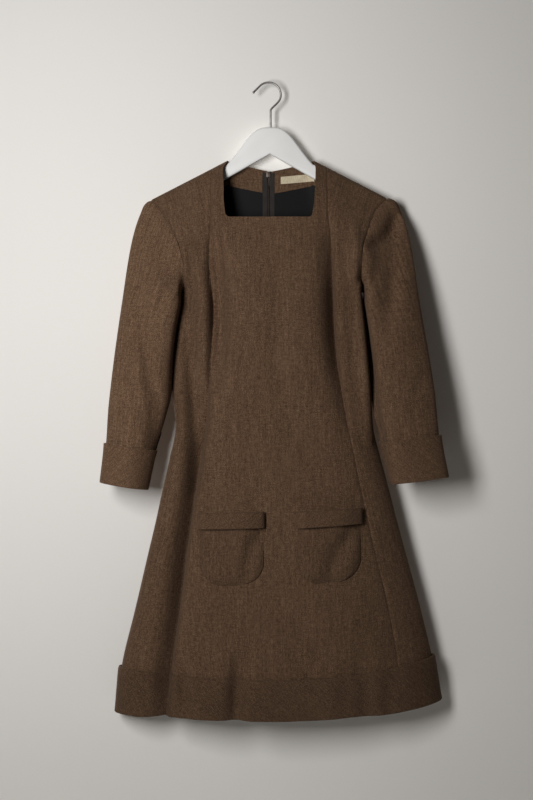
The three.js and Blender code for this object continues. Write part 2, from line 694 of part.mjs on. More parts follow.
// A box between two corners.
function block(low, high) {
  const size = high.map((v, i) => v - low[i]);
  const middle = high.map((v, i) => (v + low[i]) / 2);
  return new THREE.BoxGeometry(...size).translate(...middle);
}

// A flat outline in the XZ plane, extruded along Y with bevelled edges.
function plate(shape, thickness, bevel, steps = 2) {
  const geometry = new THREE.ExtrudeGeometry(shape, {
    depth: thickness - 2 * bevel,
    bevelSize: bevel,
    bevelThickness: bevel,
    bevelOffset: -bevel,
    bevelSegments: steps,
    curveSegments: 6,
  });
  return geometry.translate(0, 0, bevel - thickness / 2).rotateX(Math.PI / 2);
}

// The hanger: a flat board whose arms lie just under the shoulders.
function addHanger() {
  const h = hanger;
  const armTop = (x) => neckLevel - shoulderSlope * (x - neckHalf) - h.underRidge;
  const armFoot = (x) => armTop(x) - h.armHeight + h.taper * (x - neckHalf);
  const right = [
    ...crown.map(({ x, z }) => [x, z]),
    [h.armTopStart, armTop(h.armTopStart)],
    [h.armEnd, armTop(h.armEnd)],
    [h.armEnd + h.endOut, armTop(h.armEnd) - h.endDrop],
    [h.armEnd - h.endBack, armFoot(h.armEnd)],
    [h.armFootStart, armFoot(h.armFootStart)],
  ];
  const outlinePoints = [
    ...right.map(([x, z]) => new THREE.Vector2(h.middle + x, z)),
    new THREE.Vector2(h.middle, h.apexZ),
    ...[...right].reverse().map(([x, z]) => new THREE.Vector2(h.middle - x, z)),
  ];
  const shape = new THREE.Shape(outlinePoints.reverse());
  add("hanger_body", plate(shape, h.thickness, h.edge), whitePaint);

  const arc = Array.from({ length: hook.arcSteps + 1 }, (_, i) => {
    const angle = mix(hook.startAngle, hook.endAngle, i / hook.arcSteps);
    return new THREE.Vector3(Math.cos(angle), 0, Math.sin(angle))
      .multiplyScalar(hook.radius)
      .add(new THREE.Vector3(0, 0, wireRadius - hook.radius));
  });
  const foot = crown[0].z + gap;
  const last = arc[arc.length - 1];
  const ahead = new THREE.Vector3(-Math.sin(hook.endAngle), 0, Math.cos(hook.endAngle));
  const path = new THREE.CatmullRomCurve3([
    new THREE.Vector3(hook.stem, 0, foot),
    new THREE.Vector3(hook.stem, 0, (foot + hook.bend) / 2),
    new THREE.Vector3(hook.stem, 0, hook.bend),
    ...arc,
    last.clone().addScaledVector(ahead, hook.tip / 2),
    last.clone().addScaledVector(ahead, hook.tip),
  ]);
  const section = new THREE.Shape().absarc(0, 0, wireRadius, 0, 2 * Math.PI);
  const settings = { steps: hook.wireSteps, curveSegments: 4, extrudePath: path };
  add("hanger_hook", new THREE.ExtrudeGeometry(section, settings), steel);
}

// The zip's slider sits above the chain: a plate on each side of the cloth, the neck between
// them, and outside a bar on two posts that keeps the pull.
function addZipHardware() {
  const back = bodyPoint("back", 0, zip.chainTop);
  const s = slider;
  const inner = back.y - cloth - 3 * gap - zip.thickness;
  const outer = back.y + gap;
  const face = outer + s.plate;
  const foot = back.z + gap;
  const top = foot + s.height;
  const hingeZ = (foot + top) / 2;
  const barEnd = face + s.barRise + 2 * s.bar;
  const body = joined(
    block([-s.half, inner - s.plate, foot], [s.half, inner, top]),
    block([-s.neck, inner - s.plate / 2, foot], [s.neck, outer + s.plate / 2, top]),
    block([-s.half, outer, foot], [s.half, face, top]),
    block([-s.bar, outer + s.plate / 2, hingeZ - s.postEnd], [s.bar, barEnd, hingeZ - s.post]),
    block([-s.bar, outer + s.plate / 2, hingeZ + s.post], [s.bar, barEnd, hingeZ + s.postEnd]),
    block([-s.bar, face + s.barRise, hingeZ - s.postEnd], [s.bar, barEnd, hingeZ + s.postEnd]),
  );
  add("zip_slider", body, zipMetal);

  const pivot = new THREE.Group();
  pivot.position.set(0, face + pull.hingeRise, hingeZ);
  dress.add(pivot);
  const edge = pull.thickness / 2;
  const tab = new THREE.Shape();
  tab.moveTo(-pull.half, edge).lineTo(pull.half, edge);
  tab.lineTo(pull.half, -pull.shoulder).lineTo(pull.tip, -pull.length + pull.tip);
  tab.absarc(0, -pull.length + pull.tip, pull.tip, 0, -Math.PI, true).lineTo(-pull.half, -pull.shoulder);
  const eye = new THREE.Path();
  eye.moveTo(-pull.eyeHalf, -edge).lineTo(-pull.eyeHalf, -pull.eyeLength);
  eye.lineTo(pull.eyeHalf, -pull.eyeLength).lineTo(pull.eyeHalf, -edge);
  tab.holes.push(eye);
  const settings = { depth: pull.thickness, bevelEnabled: false, curveSegments: 8 };
  const flat = new THREE.ExtrudeGeometry(tab, settings).translate(0, 0, -edge);
  add("zip_pull", flat.rotateX(Math.PI / 2), zipMetal, pivot);
}

addBodyPanels();
addHemBand();
addSleeves();
addPockets();
addInsideBack();
addHanger();
addZipHardware();

export default dress;
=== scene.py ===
import math
import bpy
import numpy as np
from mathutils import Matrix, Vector


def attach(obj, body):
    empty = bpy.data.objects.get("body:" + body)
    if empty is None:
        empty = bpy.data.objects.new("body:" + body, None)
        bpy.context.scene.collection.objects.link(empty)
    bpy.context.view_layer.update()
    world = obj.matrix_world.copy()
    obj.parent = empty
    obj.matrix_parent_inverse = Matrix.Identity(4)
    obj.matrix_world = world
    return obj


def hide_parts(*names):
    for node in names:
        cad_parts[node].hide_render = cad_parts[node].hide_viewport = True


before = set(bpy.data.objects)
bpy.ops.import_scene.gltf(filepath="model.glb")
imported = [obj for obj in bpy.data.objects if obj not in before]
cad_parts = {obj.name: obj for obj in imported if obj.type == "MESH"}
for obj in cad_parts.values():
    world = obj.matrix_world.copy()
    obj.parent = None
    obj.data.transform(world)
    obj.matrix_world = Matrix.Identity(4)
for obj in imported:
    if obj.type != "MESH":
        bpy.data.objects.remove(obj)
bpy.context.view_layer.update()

scene = bpy.context.scene
scene.view_settings.view_transform = "Standard"
print("frame loaded:", len(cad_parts), "solids")

# Shapes are worked out in millimetres and become metres when a mesh is made.
mm = 0.001

cameraLook = {"place": (-0.00325, -2.54, -0.5145), "lens": 70.3125}
bpy.ops.object.camera_add(location=cameraLook["place"], rotation=(math.pi / 2, 0, 0))
scene.camera = bpy.context.object
scene.camera.name = "camera"
scene.camera.data.lens = cameraLook["lens"]
print("camera placed")


# ---- the dress's shape: the same sizes as its solids ----

dress = {
    "cloth": 1.8,
    "doubled": 2.4,
    "liningCloth": 1.0,
    "gap": 0.3,
    "neckMiddle": 3.5,
    "neckHalf": 70.0,
    "neckLevel": -125.5,
    "shoulderSlope": 0.515,
    "ridgeRadius": 8.5,
    "ridgeEase": 40.0,
    "ridgeReach": 120.0,
    "cornerTurn": 2.5,
    "underarm": -340.0,
    "neckBottom": -222.5,
    "backDrop": 16.0,
    "backPower": 1.15,
    "frontSquareness": 2.4,
    "backSquareness": 3.4,
    "cuspPower": 1.3,
    "edgeHold": 6,
    "probe": 1.5,
    "near": 0.01,
    "sideFrom": 1.0,
    "fillTurn": 3.0,
    "zipEnd": -640.0,
    "bandTop": -954.5,
    "hem": -1018.0,
    "hemTurn": 3.0,
}

# level, left edge, right edge, left rise, right rise
outline = [
    (-125.5, -192, 192, 0, 0),
    (-138, -184.5, 186.5, 0, 0),
    (-150, -178.5, 180, 0, 0),
    (-176, -168.5, 170, 0, 0),
    (-222, -152, 158, 0, 0),
    (-262, -141, 149.5, 0, 0),
    (-307, -134.5, 147.5, 0, 0),
    (-340, -137.5, 149.5, 0, 0),
    (-394, -145.5, 155, 0, 0),
    (-502, -155, 165, 0, 0),
    (-555, -150.5, 168.5, 0, 0),
    (-608, -160, 181, 0, 1),
    (-650, -169.5, 192, 1, 3),
    (-722, -185, 210, 3, 7),
    (-792, -201, 227, 5, 13),
    (-870, -219, 246, 7.5, 20),
    (-954.5, -238, 264.5, 10.5, 29),
    (-1020, -247, 279, 6, 27),
]
# level, front, back, side, half armhole, ease
depths = [
    (-125.5, -34, 13, -1.5, 10.5, 0.95),
    (-222, -54, 17, -13, 25, 0.9),
    (-280, -67, 18, -18.5, 27, 0.75),
    (-307, -72, 18, -22, 23.5, 0.65),
    (-327, -75, 18, -25, 15, 0.57),
    (-340, -77, 18, -28, 0, 0.5),
    (-408, -80, 17, -27, 0, 0.5),
    (-500, -76, 14, -23, 0, 0.5),
    (-552, -72, 13, -20, 0, 0.5),
    (-620, -73, 15, -17, 0, 0.5),
    (-728, -78, 17, -13, 0, 0.5),
    (-857, -84, 17, -10, 0, 0.5),
    (-1020, -90, 17, -8, 0, 0.5),
]
# level, x, depth of the fold, its reach outwards and inwards
leftSeam = [
    (-125.5, -93, 0, 9, 7),
    (-200, -94, 1, 9, 7),
    (-248, -95, 3, 9, 7),
    (-284, -96, 8, 9, 7),
    (-326, -92.5, 18, 9, 7),
    (-373, -88.8, 21, 10, 8),
    (-446, -92, 15, 12, 9),
    (-500, -95.5, 11, 15, 10),
    (-552, -100.5, 15, 18, 7),
    (-606, -109, 22, 20, 5),
    (-678, -121, 25, 22, 4),
    (-757, -132.5, 25, 22, 4),
    (-838, -142.2, 23, 22, 5),
    (-930, -154.4, 15, 22, 9),
    (-1020, -163, 8, 20, 14),
]
rightSeam = [
    (-125.5, 94.8, 0, 6, 14),
    (-200, 94.8, 2, 6, 14),
    (-248, 98.5, 6, 6, 14),
    (-300, 100.5, 12, 6, 14),
    (-356, 102.4, 17, 6, 15),
    (-402, 104.3, 16, 6, 16),
    (-452, 108.4, 12, 7, 16),
    (-489, 114.4, 6, 9, 16),
    (-538, 122.5, 2.5, 12, 16),
    (-605, 136.5, 1.5, 14, 16),
    (-681, 151.8, 1.5, 14, 16),
    (-765, 170.2, 1.5, 14, 16),
    (-848, 189, 2, 14, 16),
    (-944, 204.5, 2, 14, 16),
    (-1020, 213, 1, 14, 16),
]
# level, left and right side of the neck
neckEdge = [
    (-125.5, -66.5, 73.5),
    (-138, -73.3, 76.5),
    (-163, -72.4, 75.5),
    (-189, -71.8, 74),
    (-212, -69.5, 71),
    (-222.5, -61, 63),
    (-300, -60, 64),
    (-500, -58, 62),
    (-954.5, -82, 104),
    (-1020, -84, 108),
]
# sheet, x at the top and at the bottom, reach, depth, top, bottom
waves = [
    ("front", -132, -150, 13, 6, -890, -1020),
    ("front", -42, -56, 17, 9, -880, -1020),
    ("front", 60, 64, 34, 3, -800, -1020),
    ("front", 138, 150, 22, 5, -870, -1020),
    ("back", -70, -105, 26, -8, -620, -1020),
    ("back", 80, 120, 26, -8, -620, -1020),
]
# z, outer x, inner x, centre y, half depth, lean
sleeveSections = {
    "left": [
        (-362, -235.5, -141, -32, 44, 0),
        (-408, -242, -149.5, -33, 44, 0.02),
        (-452, -248, -154, -34, 43, 0.05),
        (-500, -253.5, -156.5, -35, 42, 0.09),
        (-537, -257, -165, -37, 41, 0.12),
        (-589, -260, -181.5, -39, 38, 0.14),
        (-652, -267, -195, -42, 36, 0.155),
    ],
    "right": [
        (-362, 242.5, 154, -30, 41, 0),
        (-408, 250.5, 161, -32, 41, -0.02),
        (-456, 258, 167.5, -37, 40, -0.05),
        (-515, 265.5, 173.5, -45, 38, -0.09),
        (-575, 270.5, 184.5, -54, 35, -0.12),
        (-643, 282.5, 196.5, -60, 33, -0.125),
    ],
}
cuffs = {
    "left": {"top": -589, "bottom": -652, "sleeveEnd": -649},
    "right": {"top": -575, "bottom": -642, "sleeveEnd": -639},
}
cap = {"leave": {"left": (-0.8, -0.6), "right": (0.98, -0.2)}, "leavePull": 0.62, "arrivePull": 0.8}
# How round the front of a sleeve is towards its outer and inner edge, how far it turns
# outwards, and how far its back half reaches towards the body, by level.
sleeveFront = {
    "left": {
        "outer": [(-652, 0.7), (-362, 0.6)],
        "inner": [(-652, 1.3), (-560, 1.2), (-500, 0.8), (-430, 0.3)],
        "outerTilt": [(-652, -0.3), (-362, -0.34)],
        "innerTilt": [(-652, 0.0), (-500, 0.0), (-362, -0.14)],
        "fill": [(-652, 0.0), (-530, 0.0), (-480, 4.5), (-362, 4.5)],
    },
    "right": {
        "outer": [(-643, 0.42), (-362, 0.36)],
        "inner": [(-643, 0.5), (-440, 0.42), (-400, 0.28)],
        "outerTilt": [(-643, 0.1), (-440, 0.16), (-362, 0.3)],
        "innerTilt": [(-643, 0.12), (-440, 0.18), (-362, 0.34)],
        "fill": [(-643, 2.0), (-590, 7.0), (-520, 10.0), (-362, 10.0)],
    },
}


def readTable(rows, at):
    table = np.array(rows, float)
    if table[0, 0] > table[-1, 0]:
        table = table[::-1]
    keys, values = table[:, 0], table[:, 1:]
    place = np.clip(at, keys[0], keys[-1])
    low = np.clip(np.searchsorted(keys, place, side="right") - 1, 0, len(keys) - 2)
    rate = np.diff(values, axis=0) / np.diff(keys)[:, None]
    slope = np.zeros_like(values)
    slope[0], slope[-1] = rate[0], rate[-1]
    before, after = rate[:-1], rate[1:]
    both = before * after
    total = np.where(both > 0, before + after, 1)
    slope[1:-1] = np.where(both > 0, 2 * both / total, 0)
    span = (keys[low + 1] - keys[low])[..., None]
    t = (place - keys[low])[..., None] / span
    read = (
        values[low] * (1 + 2 * t) * (1 - t) ** 2
        + values[low + 1] * t * t * (3 - 2 * t)
        + span * (slope[low] * t * (1 - t) ** 2 - slope[low + 1] * t * t * (1 - t))
    )
    return np.moveaxis(read, -1, 0)


def smooth(t):
    return t * t * (3 - 2 * t)


def fromNeck(x):
    return np.abs(x - dress["neckMiddle"])


def ridge(x):
    return dress["neckLevel"] - dress["shoulderSlope"] * (fromNeck(x) - dress["neckHalf"])


def topOf(sheet, x):
    inside = np.clip(fromNeck(x) / dress["neckHalf"], 0, 1)
    drop = 0 if sheet == "front" else dress["backDrop"] * (1 - inside ** dress["backPower"])
    return np.where(inside < 1, dress["neckLevel"] - drop, ridge(x))


def foldAt(x, level):
    pull = 0
    for table, sign in ((leftSeam, -1), (rightSeam, 1)):
        seamX, depth, outer, inner = readTable(table, level)
        reach = np.where((x - seamX) * sign > 0, outer, inner)
        pull = pull + depth * np.exp(-((np.abs(x - seamX) / reach) ** dress["cuspPower"]))
    return pull


def waveAt(sheet, x, level):
    pull = np.zeros_like(x)
    for where, xTop, xBottom, reach, depth, top, bottom in waves:
        if where == sheet:
            t = np.clip((top - level) / (top - bottom), 0, 1)
            centre = xTop + (xBottom - xTop) * t
            pull += depth * smooth(t) * np.exp(-(((x - centre) / reach) ** 2))
    return pull


def unit(vectors):
    return vectors / np.linalg.norm(vectors, axis=-1, keepdims=True)


def bodyPoint(sheet, x, level):
    x, level = (np.array(v, float) for v in np.broadcast_arrays(x, level))
    left, right, leftRise, rightRise = readTable(outline, level)
    frontY, backY, side, hole, ease = readTable(depths, level)
    middle = (left + right) / 2
    s = np.minimum(np.abs(x - middle) / ((right - left) / 2), 1)
    front = sheet == "front"
    share = (level - dress["underarm"]) / (dress["neckLevel"] - dress["underarm"])
    rise = np.where(x < middle, leftRise, rightRise)
    high = dress["underarm"] + share * (topOf(sheet, x) - dress["underarm"])
    z = np.where(share > 0, high, level + rise * s * s)
    crown = (1 - s ** dress["frontSquareness" if front else "backSquareness"]) ** ease
    edge = side + (-hole if front else hole)
    y = edge + ((frontY if front else backY) - edge) * crown
    below = np.maximum(ridge(x) - z, 0)
    below += dress["cornerTurn"] * np.maximum(dress["neckHalf"] - fromNeck(x), 0)
    radius = dress["ridgeRadius"]
    turn = radius * np.sqrt(1 - (1 - np.minimum(below / radius, 1)) ** 2)
    away = 1 - np.exp(-below / dress["ridgeEase"])
    ridgeShare = smooth(np.clip(1 - below / dress["ridgeReach"], 0, 1))
    closed = (-1 if front else 1) * (turn + away * np.maximum(np.abs(y) - radius, 0))
    y = np.where(share > 0, y + (closed - y) * ridgeShare, y)
    inward = 1 - s ** dress["edgeHold"]
    if front:
        y += foldAt(x, level) * inward
    y += waveAt(sheet, x, level) * inward
    y += -dress["gap"] / 2 if front else dress["gap"] / 2
    return np.stack([x, y, z], axis=-1)


def bodyNormal(sheet, x, level):
    x, level = (np.array(v, float) for v in np.broadcast_arrays(x, level))
    left, right = readTable(outline, level)[:2]
    step, near = dress["probe"], dress["near"]
    down = np.maximum(level - step, dress["hem"] - step)
    up = np.minimum(level + step, dress["neckLevel"])
    across = bodyPoint(sheet, np.minimum(x + step, right), level)
    across -= bodyPoint(sheet, np.maximum(x - step, left), level)
    along = bodyPoint(sheet, x, up) - bodyPoint(sheet, x, down)
    normal = unit(np.cross(across, along)) * (1 if sheet == "front" else -1)
    side = np.where(x < 0, -1.0, 1.0)
    lower, upper = readTable(outline, down), readTable(outline, up)
    flare = side * np.where(x < 0, lower[0] - upper[0], lower[1] - upper[1])
    straightOut = unit(np.stack([side * (up - down), 0 * x, flare], axis=-1))
    atSide = (level <= dress["underarm"] + dress["sideFrom"]) & ((x <= left + near) | (x >= right - near))
    normal = np.where(atSide[..., None], straightOut, normal)
    overRidge = unit(np.stack([np.sign(x) * dress["shoulderSlope"], 0 * x, 1 + 0 * x], axis=-1))
    onRidge = (level >= dress["neckLevel"] - near) & (fromNeck(x) >= dress["neckHalf"] - near)
    return np.where(onRidge[..., None], overRidge, normal)


def bodyAt(sheet, x, level, out):
    out = np.asarray(out, float)
    return bodyPoint(sheet, x, level) + bodyNormal(sheet, x, level) * out[..., None]


# ---- mesh helpers ----


def gridNormals(points, wrap=False):
    if wrap:
        across = np.roll(points, -1, axis=1) - np.roll(points, 1, axis=1)
    else:
        across = np.gradient(points, axis=1)
    return unit(np.cross(np.gradient(points, axis=0), across))


pressing = {"start": 0.08, "run": 0.84, "fade": 0.8, "facing": 4.0}


# A crease: its line in X and Z, its depth, its reach to the viewer's right and left of a line
# that runs down, and the face that it is in: -1 is the front. A negative depth is a ridge.
def crease(line, depth, reach, face=-1, power=2):
    return {"line": line, "depth": depth, "reach": reach, "face": face, "power": power}


# Creases are pressed straight back. They fade towards both ends and where the cloth turns away.
def pressCreases(points, normals, creases):
    moved = points.copy()
    flat = points[..., [0, 2]]
    for fold in creases:
        line = np.array(fold["line"], float)
        lengths = np.linalg.norm(np.diff(line, axis=0), axis=1)
        run = np.concatenate([[0], np.cumsum(lengths)])
        best = np.full(points.shape[:-1], np.inf)
        beside = np.zeros(points.shape[:-1])
        along = np.zeros(points.shape[:-1])
        for k in range(len(line) - 1):
            way = (line[k + 1] - line[k]) / lengths[k]
            offset = flat - line[k]
            t = np.clip(offset @ way, 0, lengths[k])
            distance = np.linalg.norm(offset - t[..., None] * way, axis=-1)
            near = distance < best
            best = np.where(near, distance, best)
            beside = np.where(near, way[0] * offset[..., 1] - way[1] * offset[..., 0], beside)
            along = np.where(near, (run[k] + t) / run[-1], along)
        reach = np.where(beside > 0, fold["reach"][0], fold["reach"][1])
        fade = np.sin(math.pi * (pressing["start"] + pressing["run"] * along)) ** pressing["fade"]
        facing = np.clip(fold["face"] * normals[..., 1] * pressing["facing"], 0, 1)
        press = fold["depth"] * np.exp(-((best / reach) ** fold["power"])) * fade * facing
        moved[..., 1] -= fold["face"] * press
    return moved


# Distances along the cloth: across from one column, and down that column.
def clothUv(points, column, turn=0.0, wrap=False):
    if wrap:
        points = np.concatenate([points, points[:, :1]], axis=1)
    steps = np.linalg.norm(np.diff(points, axis=1), axis=-1)
    across = np.concatenate([np.zeros((len(points), 1)), np.cumsum(steps, axis=1)], axis=1)
    across -= across[:, column : column + 1]
    drops = np.linalg.norm(np.diff(points[:, column], axis=0), axis=-1)
    down = np.concatenate([[0], -np.cumsum(drops)])[:, None] + 0 * across
    c, s = math.cos(turn), math.sin(turn)
    return np.stack([across * c - down * s, across * s + down * c], axis=-1) * mm


def deselectAll():
    for item in bpy.context.selected_objects:
        item.select_set(False)


def makeActive(piece):
    deselectAll()
    piece.select_set(True)
    bpy.context.view_layer.objects.active = piece


# A mesh from a grid of points, with its cloth map. keep says which cells are cloth.
def gridPiece(name, points, uv, keep=None, wrap=False, flip=False, closeRows=False):
    rows, columns = points.shape[:2]
    cellRows = rows if closeRows else rows - 1
    cellColumns = columns if wrap else columns - 1
    j, i = np.meshgrid(np.arange(cellRows), np.arange(cellColumns), indexing="ij")
    if keep is not None:
        chosen = keep(j, i)
        j, i = j[chosen], i[chosen]
    j, i = j.ravel(), i.ravel()
    corners = [(j, i), (j + 1, i), (j + 1, i + 1), (j, i + 1)]
    if flip:
        corners.reverse()
    faces = np.stack([(a % rows) * columns + b % columns for a, b in corners], axis=1)
    places = np.stack([uv[a, b] for a, b in corners], axis=1)
    used, renamed = np.unique(faces, return_inverse=True)
    mesh = bpy.data.meshes.new(name)
    flat = points.reshape(-1, 3)[used] * mm
    ends = []
    if closeRows and not wrap:
        first = np.arange(rows) * columns
        ends = [first, (first + columns - 1)[::-1]]
        if flip:
            ends = [e[::-1] for e in ends]
    lookup = {int(v): n for n, v in enumerate(used)}
    polygons = renamed.reshape(faces.shape).tolist()
    polygons += [[lookup[int(v)] for v in end] for end in ends]
    mesh.from_pydata(flat.tolist(), [], polygons)
    layer = mesh.uv_layers.new(name="cloth")
    values = [places.reshape(-1, 2)]
    for end in ends:
        values.append(np.stack([flat[[lookup[int(v)] for v in end]][:, k] for k in (1, 2)], axis=1))
    layer.data.foreach_set("uv", np.concatenate(values).ravel().astype(np.float32))
    piece = bpy.data.objects.new(name, mesh)
    scene.collection.objects.link(piece)
    return piece


# Thickness inwards from the outer face; the second material goes inside.
def thicken(piece, thickness):
    makeActive(piece)
    wall = piece.modifiers.new("wall", "SOLIDIFY")
    wall.thickness = thickness * mm
    wall.offset = -1
    wall.material_offset = 1 if len(piece.data.materials) > 1 else 0
    bpy.ops.object.modifier_apply(modifier=wall.name)


def bevelEdges(piece, width, segments, degrees=30):
    makeActive(piece)
    bevel = piece.modifiers.new("edges", "BEVEL")
    bevel.width = width * mm
    bevel.segments = segments
    bevel.limit_method = "ANGLE"
    bevel.angle_limit = math.radians(degrees)
    bpy.ops.object.modifier_apply(modifier=bevel.name)


def faceOutwards(piece, merge=None):
    if piece.mode != "EDIT":
        makeActive(piece)
        bpy.ops.object.mode_set(mode="EDIT")
    bpy.ops.mesh.select_all(action="SELECT")
    if merge:
        bpy.ops.mesh.remove_doubles(threshold=merge)
    bpy.ops.mesh.normals_make_consistent(inside=False)
    bpy.ops.object.mode_set(mode="OBJECT")


def smoothShade(piece, degrees=50):
    makeActive(piece)
    bpy.ops.object.shade_smooth_by_angle(angle=math.radians(degrees))


def place(piece, body, slot, node):
    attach(piece, body)
    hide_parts(node)


# A piece gets its materials, wall, shading and body, and the solid it stands for is hidden. Where lined is
# given, its inside has the second material only between those two heights, the lower one first.
def finish(piece, materials, slot, node, thickness=None, lined=None, degrees=50, body="root"):
    for material in materials:
        piece.data.materials.append(material)
    if thickness:
        thicken(piece, thickness)
    if lined:
        for face in piece.data.polygons:
            if face.material_index == 1 and not lined[0] * mm <= face.center.z <= lined[1] * mm:
                face.material_index = 0
    smoothShade(piece, degrees)
    place(piece, body, slot, node)


# ---- materials ----


def newMaterial(name):
    material = bpy.data.materials.new(name)
    material.use_nodes = True
    tree = material.node_tree
    tree.nodes.clear()
    output = tree.nodes.new("ShaderNodeOutputMaterial")
    shader = tree.nodes.new("ShaderNodeBsdfPrincipled")
    tree.links.new(shader.outputs[0], output.inputs[0])
    return material, tree, shader


def addNode(tree, kind, inputs=(), **settings):
    node = tree.nodes.new("ShaderNode" + kind)
    for key, value in settings.items():
        setattr(node, key, value)
    for key, value in dict(inputs).items():
        if isinstance(value, bpy.types.NodeSocket):
            tree.links.new(value, node.inputs[key])
        else:
            node.inputs[key].default_value = value
    return node


def setShader(shader, values):
    for key, value in values.items():
        shader.inputs[key].default_value = value


def calculate(tree, operation, *values):
    node = tree.nodes.new("ShaderNodeMath")
    node.operation = operation
    for k, value in enumerate(values):
        if isinstance(value, bpy.types.NodeSocket):
            tree.links.new(value, node.inputs[k])
        else:
            node.inputs[k].default_value = value
    return node.outputs[0]


def noiseOf(tree, vector, scale, detail=2.0, roughness=0.5):
    stretch = addNode(tree, "Mapping", {"Vector": vector, "Scale": scale})
    inputs = {"Vector": stretch.outputs[0], "Scale": 1.0, "Detail": detail, "Roughness": roughness}
    return addNode(tree, "TexNoise", inputs).outputs[0]


def rampOf(tree, factor, stops):
    ramp = tree.nodes.new("ShaderNodeValToRGB")
    tree.links.new(factor, ramp.inputs[0])
    elements = ramp.color_ramp.elements
    while len(elements) < len(stops):
        elements.new(0.5)
    for element, (position, colour) in zip(elements, stops):
        element.position = position
        element.color = (*colour, 1)
    return ramp.outputs[0]


def bumpOf(tree, height, strength, distance):
    bump = addNode(tree, "Bump", {"Height": height, "Strength": strength, "Distance": distance})
    return bump.outputs[0]


tweedLook = {
    "dark": (0.0306, 0.0167, 0.0095),
    "mid": (0.0837, 0.0473, 0.0271),
    "light": (0.171, 0.1049, 0.0633),
    "column": 0.0085,
    "twill": 0.0026,
    "streak": (310.0, 26.0, 1.0),
    "band": (95.0, 7.0, 1.0),
    "yarn": (520.0, 130.0, 1.0),
    "weft": (95.0, 430.0, 1.0),
    "grain": (640.0, 640.0, 1.0),
    "mottle": (14.0, 6.0, 1.0),
    "detail": 1.5,
    "shares": {
        "streak": 0.3,
        "band": 0.1,
        "yarn": 0.42,
        "weft": 0.32,
        "grain": 0.85,
        "mottle": 0.12,
        "twill": 0.08,
    },
    "stops": {"dark": 0.22, "mid": 0.5, "light": 0.8},
    "relief": {"twill": 0.12, "grain": 0.6},
    "bump": (0.7, 0.0005),
    "surface": {
        "Roughness": 0.94,
        "Specular IOR Level": 0.12,
        "Sheen Weight": 0.08,
        "Sheen Roughness": 0.5,
        "Sheen Tint": (0.7, 0.5, 0.36, 1),
    },
}


# Every entry is the one cloth: how bright it is, and how much its long lines show. The darker hem, band and
# pocket copies are painted shade, and the lighter left sleeve and cuff copies are painted light.
tweedPaintedLight = {
    "tweed": (1.0, 1.0),
    "biasTweed": (0.98, 0.55),
    "hemShadedTweed": (0.8, 0.55),
    "bandShadedTweed": (0.88, 0.55),
    "pocketShadedTweed": (0.87, 1.0),
    "leftLitTweed": (1.18, 1.0),
    "leftLitBiasTweed": (1.2, 0.55),
}


def tweedMaterial(name, look, brightness, lines):
    material, tree, shader = newMaterial(name)
    uv = tree.nodes.new("ShaderNodeTexCoord").outputs["UV"]
    split = tree.nodes.new("ShaderNodeSeparateXYZ")
    tree.links.new(uv, split.inputs[0])
    zigzag = calculate(tree, "PINGPONG", split.outputs[0], look["column"])
    phase = calculate(tree, "ADD", split.outputs[1], zigzag)
    twill = calculate(tree, "SINE", calculate(tree, "MULTIPLY", phase, 2 * math.pi / look["twill"]))
    shares = look["shares"]
    tone = calculate(tree, "MULTIPLY_ADD", twill, shares["twill"], 0.5)
    layers = {}
    for key in ("streak", "band", "yarn", "weft", "grain", "mottle"):
        layers[key] = noiseOf(tree, uv, look[key], look["detail"])
        centred = calculate(tree, "SUBTRACT", layers[key], 0.5)
        share = shares[key] * (lines if key in ("streak", "band", "weft") else 1.0)
        tone = calculate(tree, "MULTIPLY_ADD", centred, share, tone)
    stops = []
    for key, position in look["stops"].items():
        stops.append((position, tuple(value * brightness for value in look[key])))
    colour = rampOf(tree, tone, stops)
    tree.links.new(colour, shader.inputs["Base Color"])
    setShader(shader, look["surface"])
    height = calculate(tree, "MULTIPLY_ADD", twill, look["relief"]["twill"], layers["yarn"])
    height = calculate(tree, "MULTIPLY_ADD", layers["grain"], look["relief"]["grain"], height)
    tree.links.new(bumpOf(tree, height, *look["bump"]), shader.inputs["Normal"])
    return material


liningLook = {
    "dark": (0.0014, 0.0014, 0.0014),
    "light": (0.003, 0.003, 0.003),
    "weave": (900.0, 60.0, 1.0),
    "stops": (0.3, 0.75),
    "bump": (0.25, 0.0002),
    "surface": {"Roughness": 0.6, "Specular IOR Level": 0.12},
}


def liningMaterial(name, look):
    material, tree, shader = newMaterial(name)
    uv = tree.nodes.new("ShaderNodeTexCoord").outputs["UV"]
    weave = noiseOf(tree, uv, look["weave"])
    colour = rampOf(tree, weave, list(zip(look["stops"], (look["dark"], look["light"]))))
    tree.links.new(colour, shader.inputs["Base Color"])
    setShader(shader, look["surface"])
    tree.links.new(bumpOf(tree, weave, *look["bump"]), shader.inputs["Normal"])
    return material


ribbonLooks = {
    "labelRibbon": {
        "colours": ((0.36, 0.29, 0.19), (0.54, 0.46, 0.325)),
        "weave": (700.0, 160.0, 1.0),
        "roughness": 0.6,
        "bump": 0.3,
    },
    "zipCloth": {
        "colours": ((0.008, 0.0065, 0.0055), (0.024, 0.019, 0.016)),
        "weave": (500.0, 900.0, 1.0),
        "roughness": 0.8,
        "bump": 0.5,
    },
    "coilNylon": {
        "colours": ((0.03, 0.022, 0.017), (0.06, 0.046, 0.036)),
        "weave": (300.0, 300.0, 1.0),
        "roughness": 0.45,
        "bump": 0.2,
    },
}


ribbonWear = {
    "stain": (60.0, 60.0, 1.0),
    "detail": 3.0,
    "share": 0.5,
    "stops": (0.25, 0.7),
    "specular": 0.3,
    "relief": 0.0002,
}


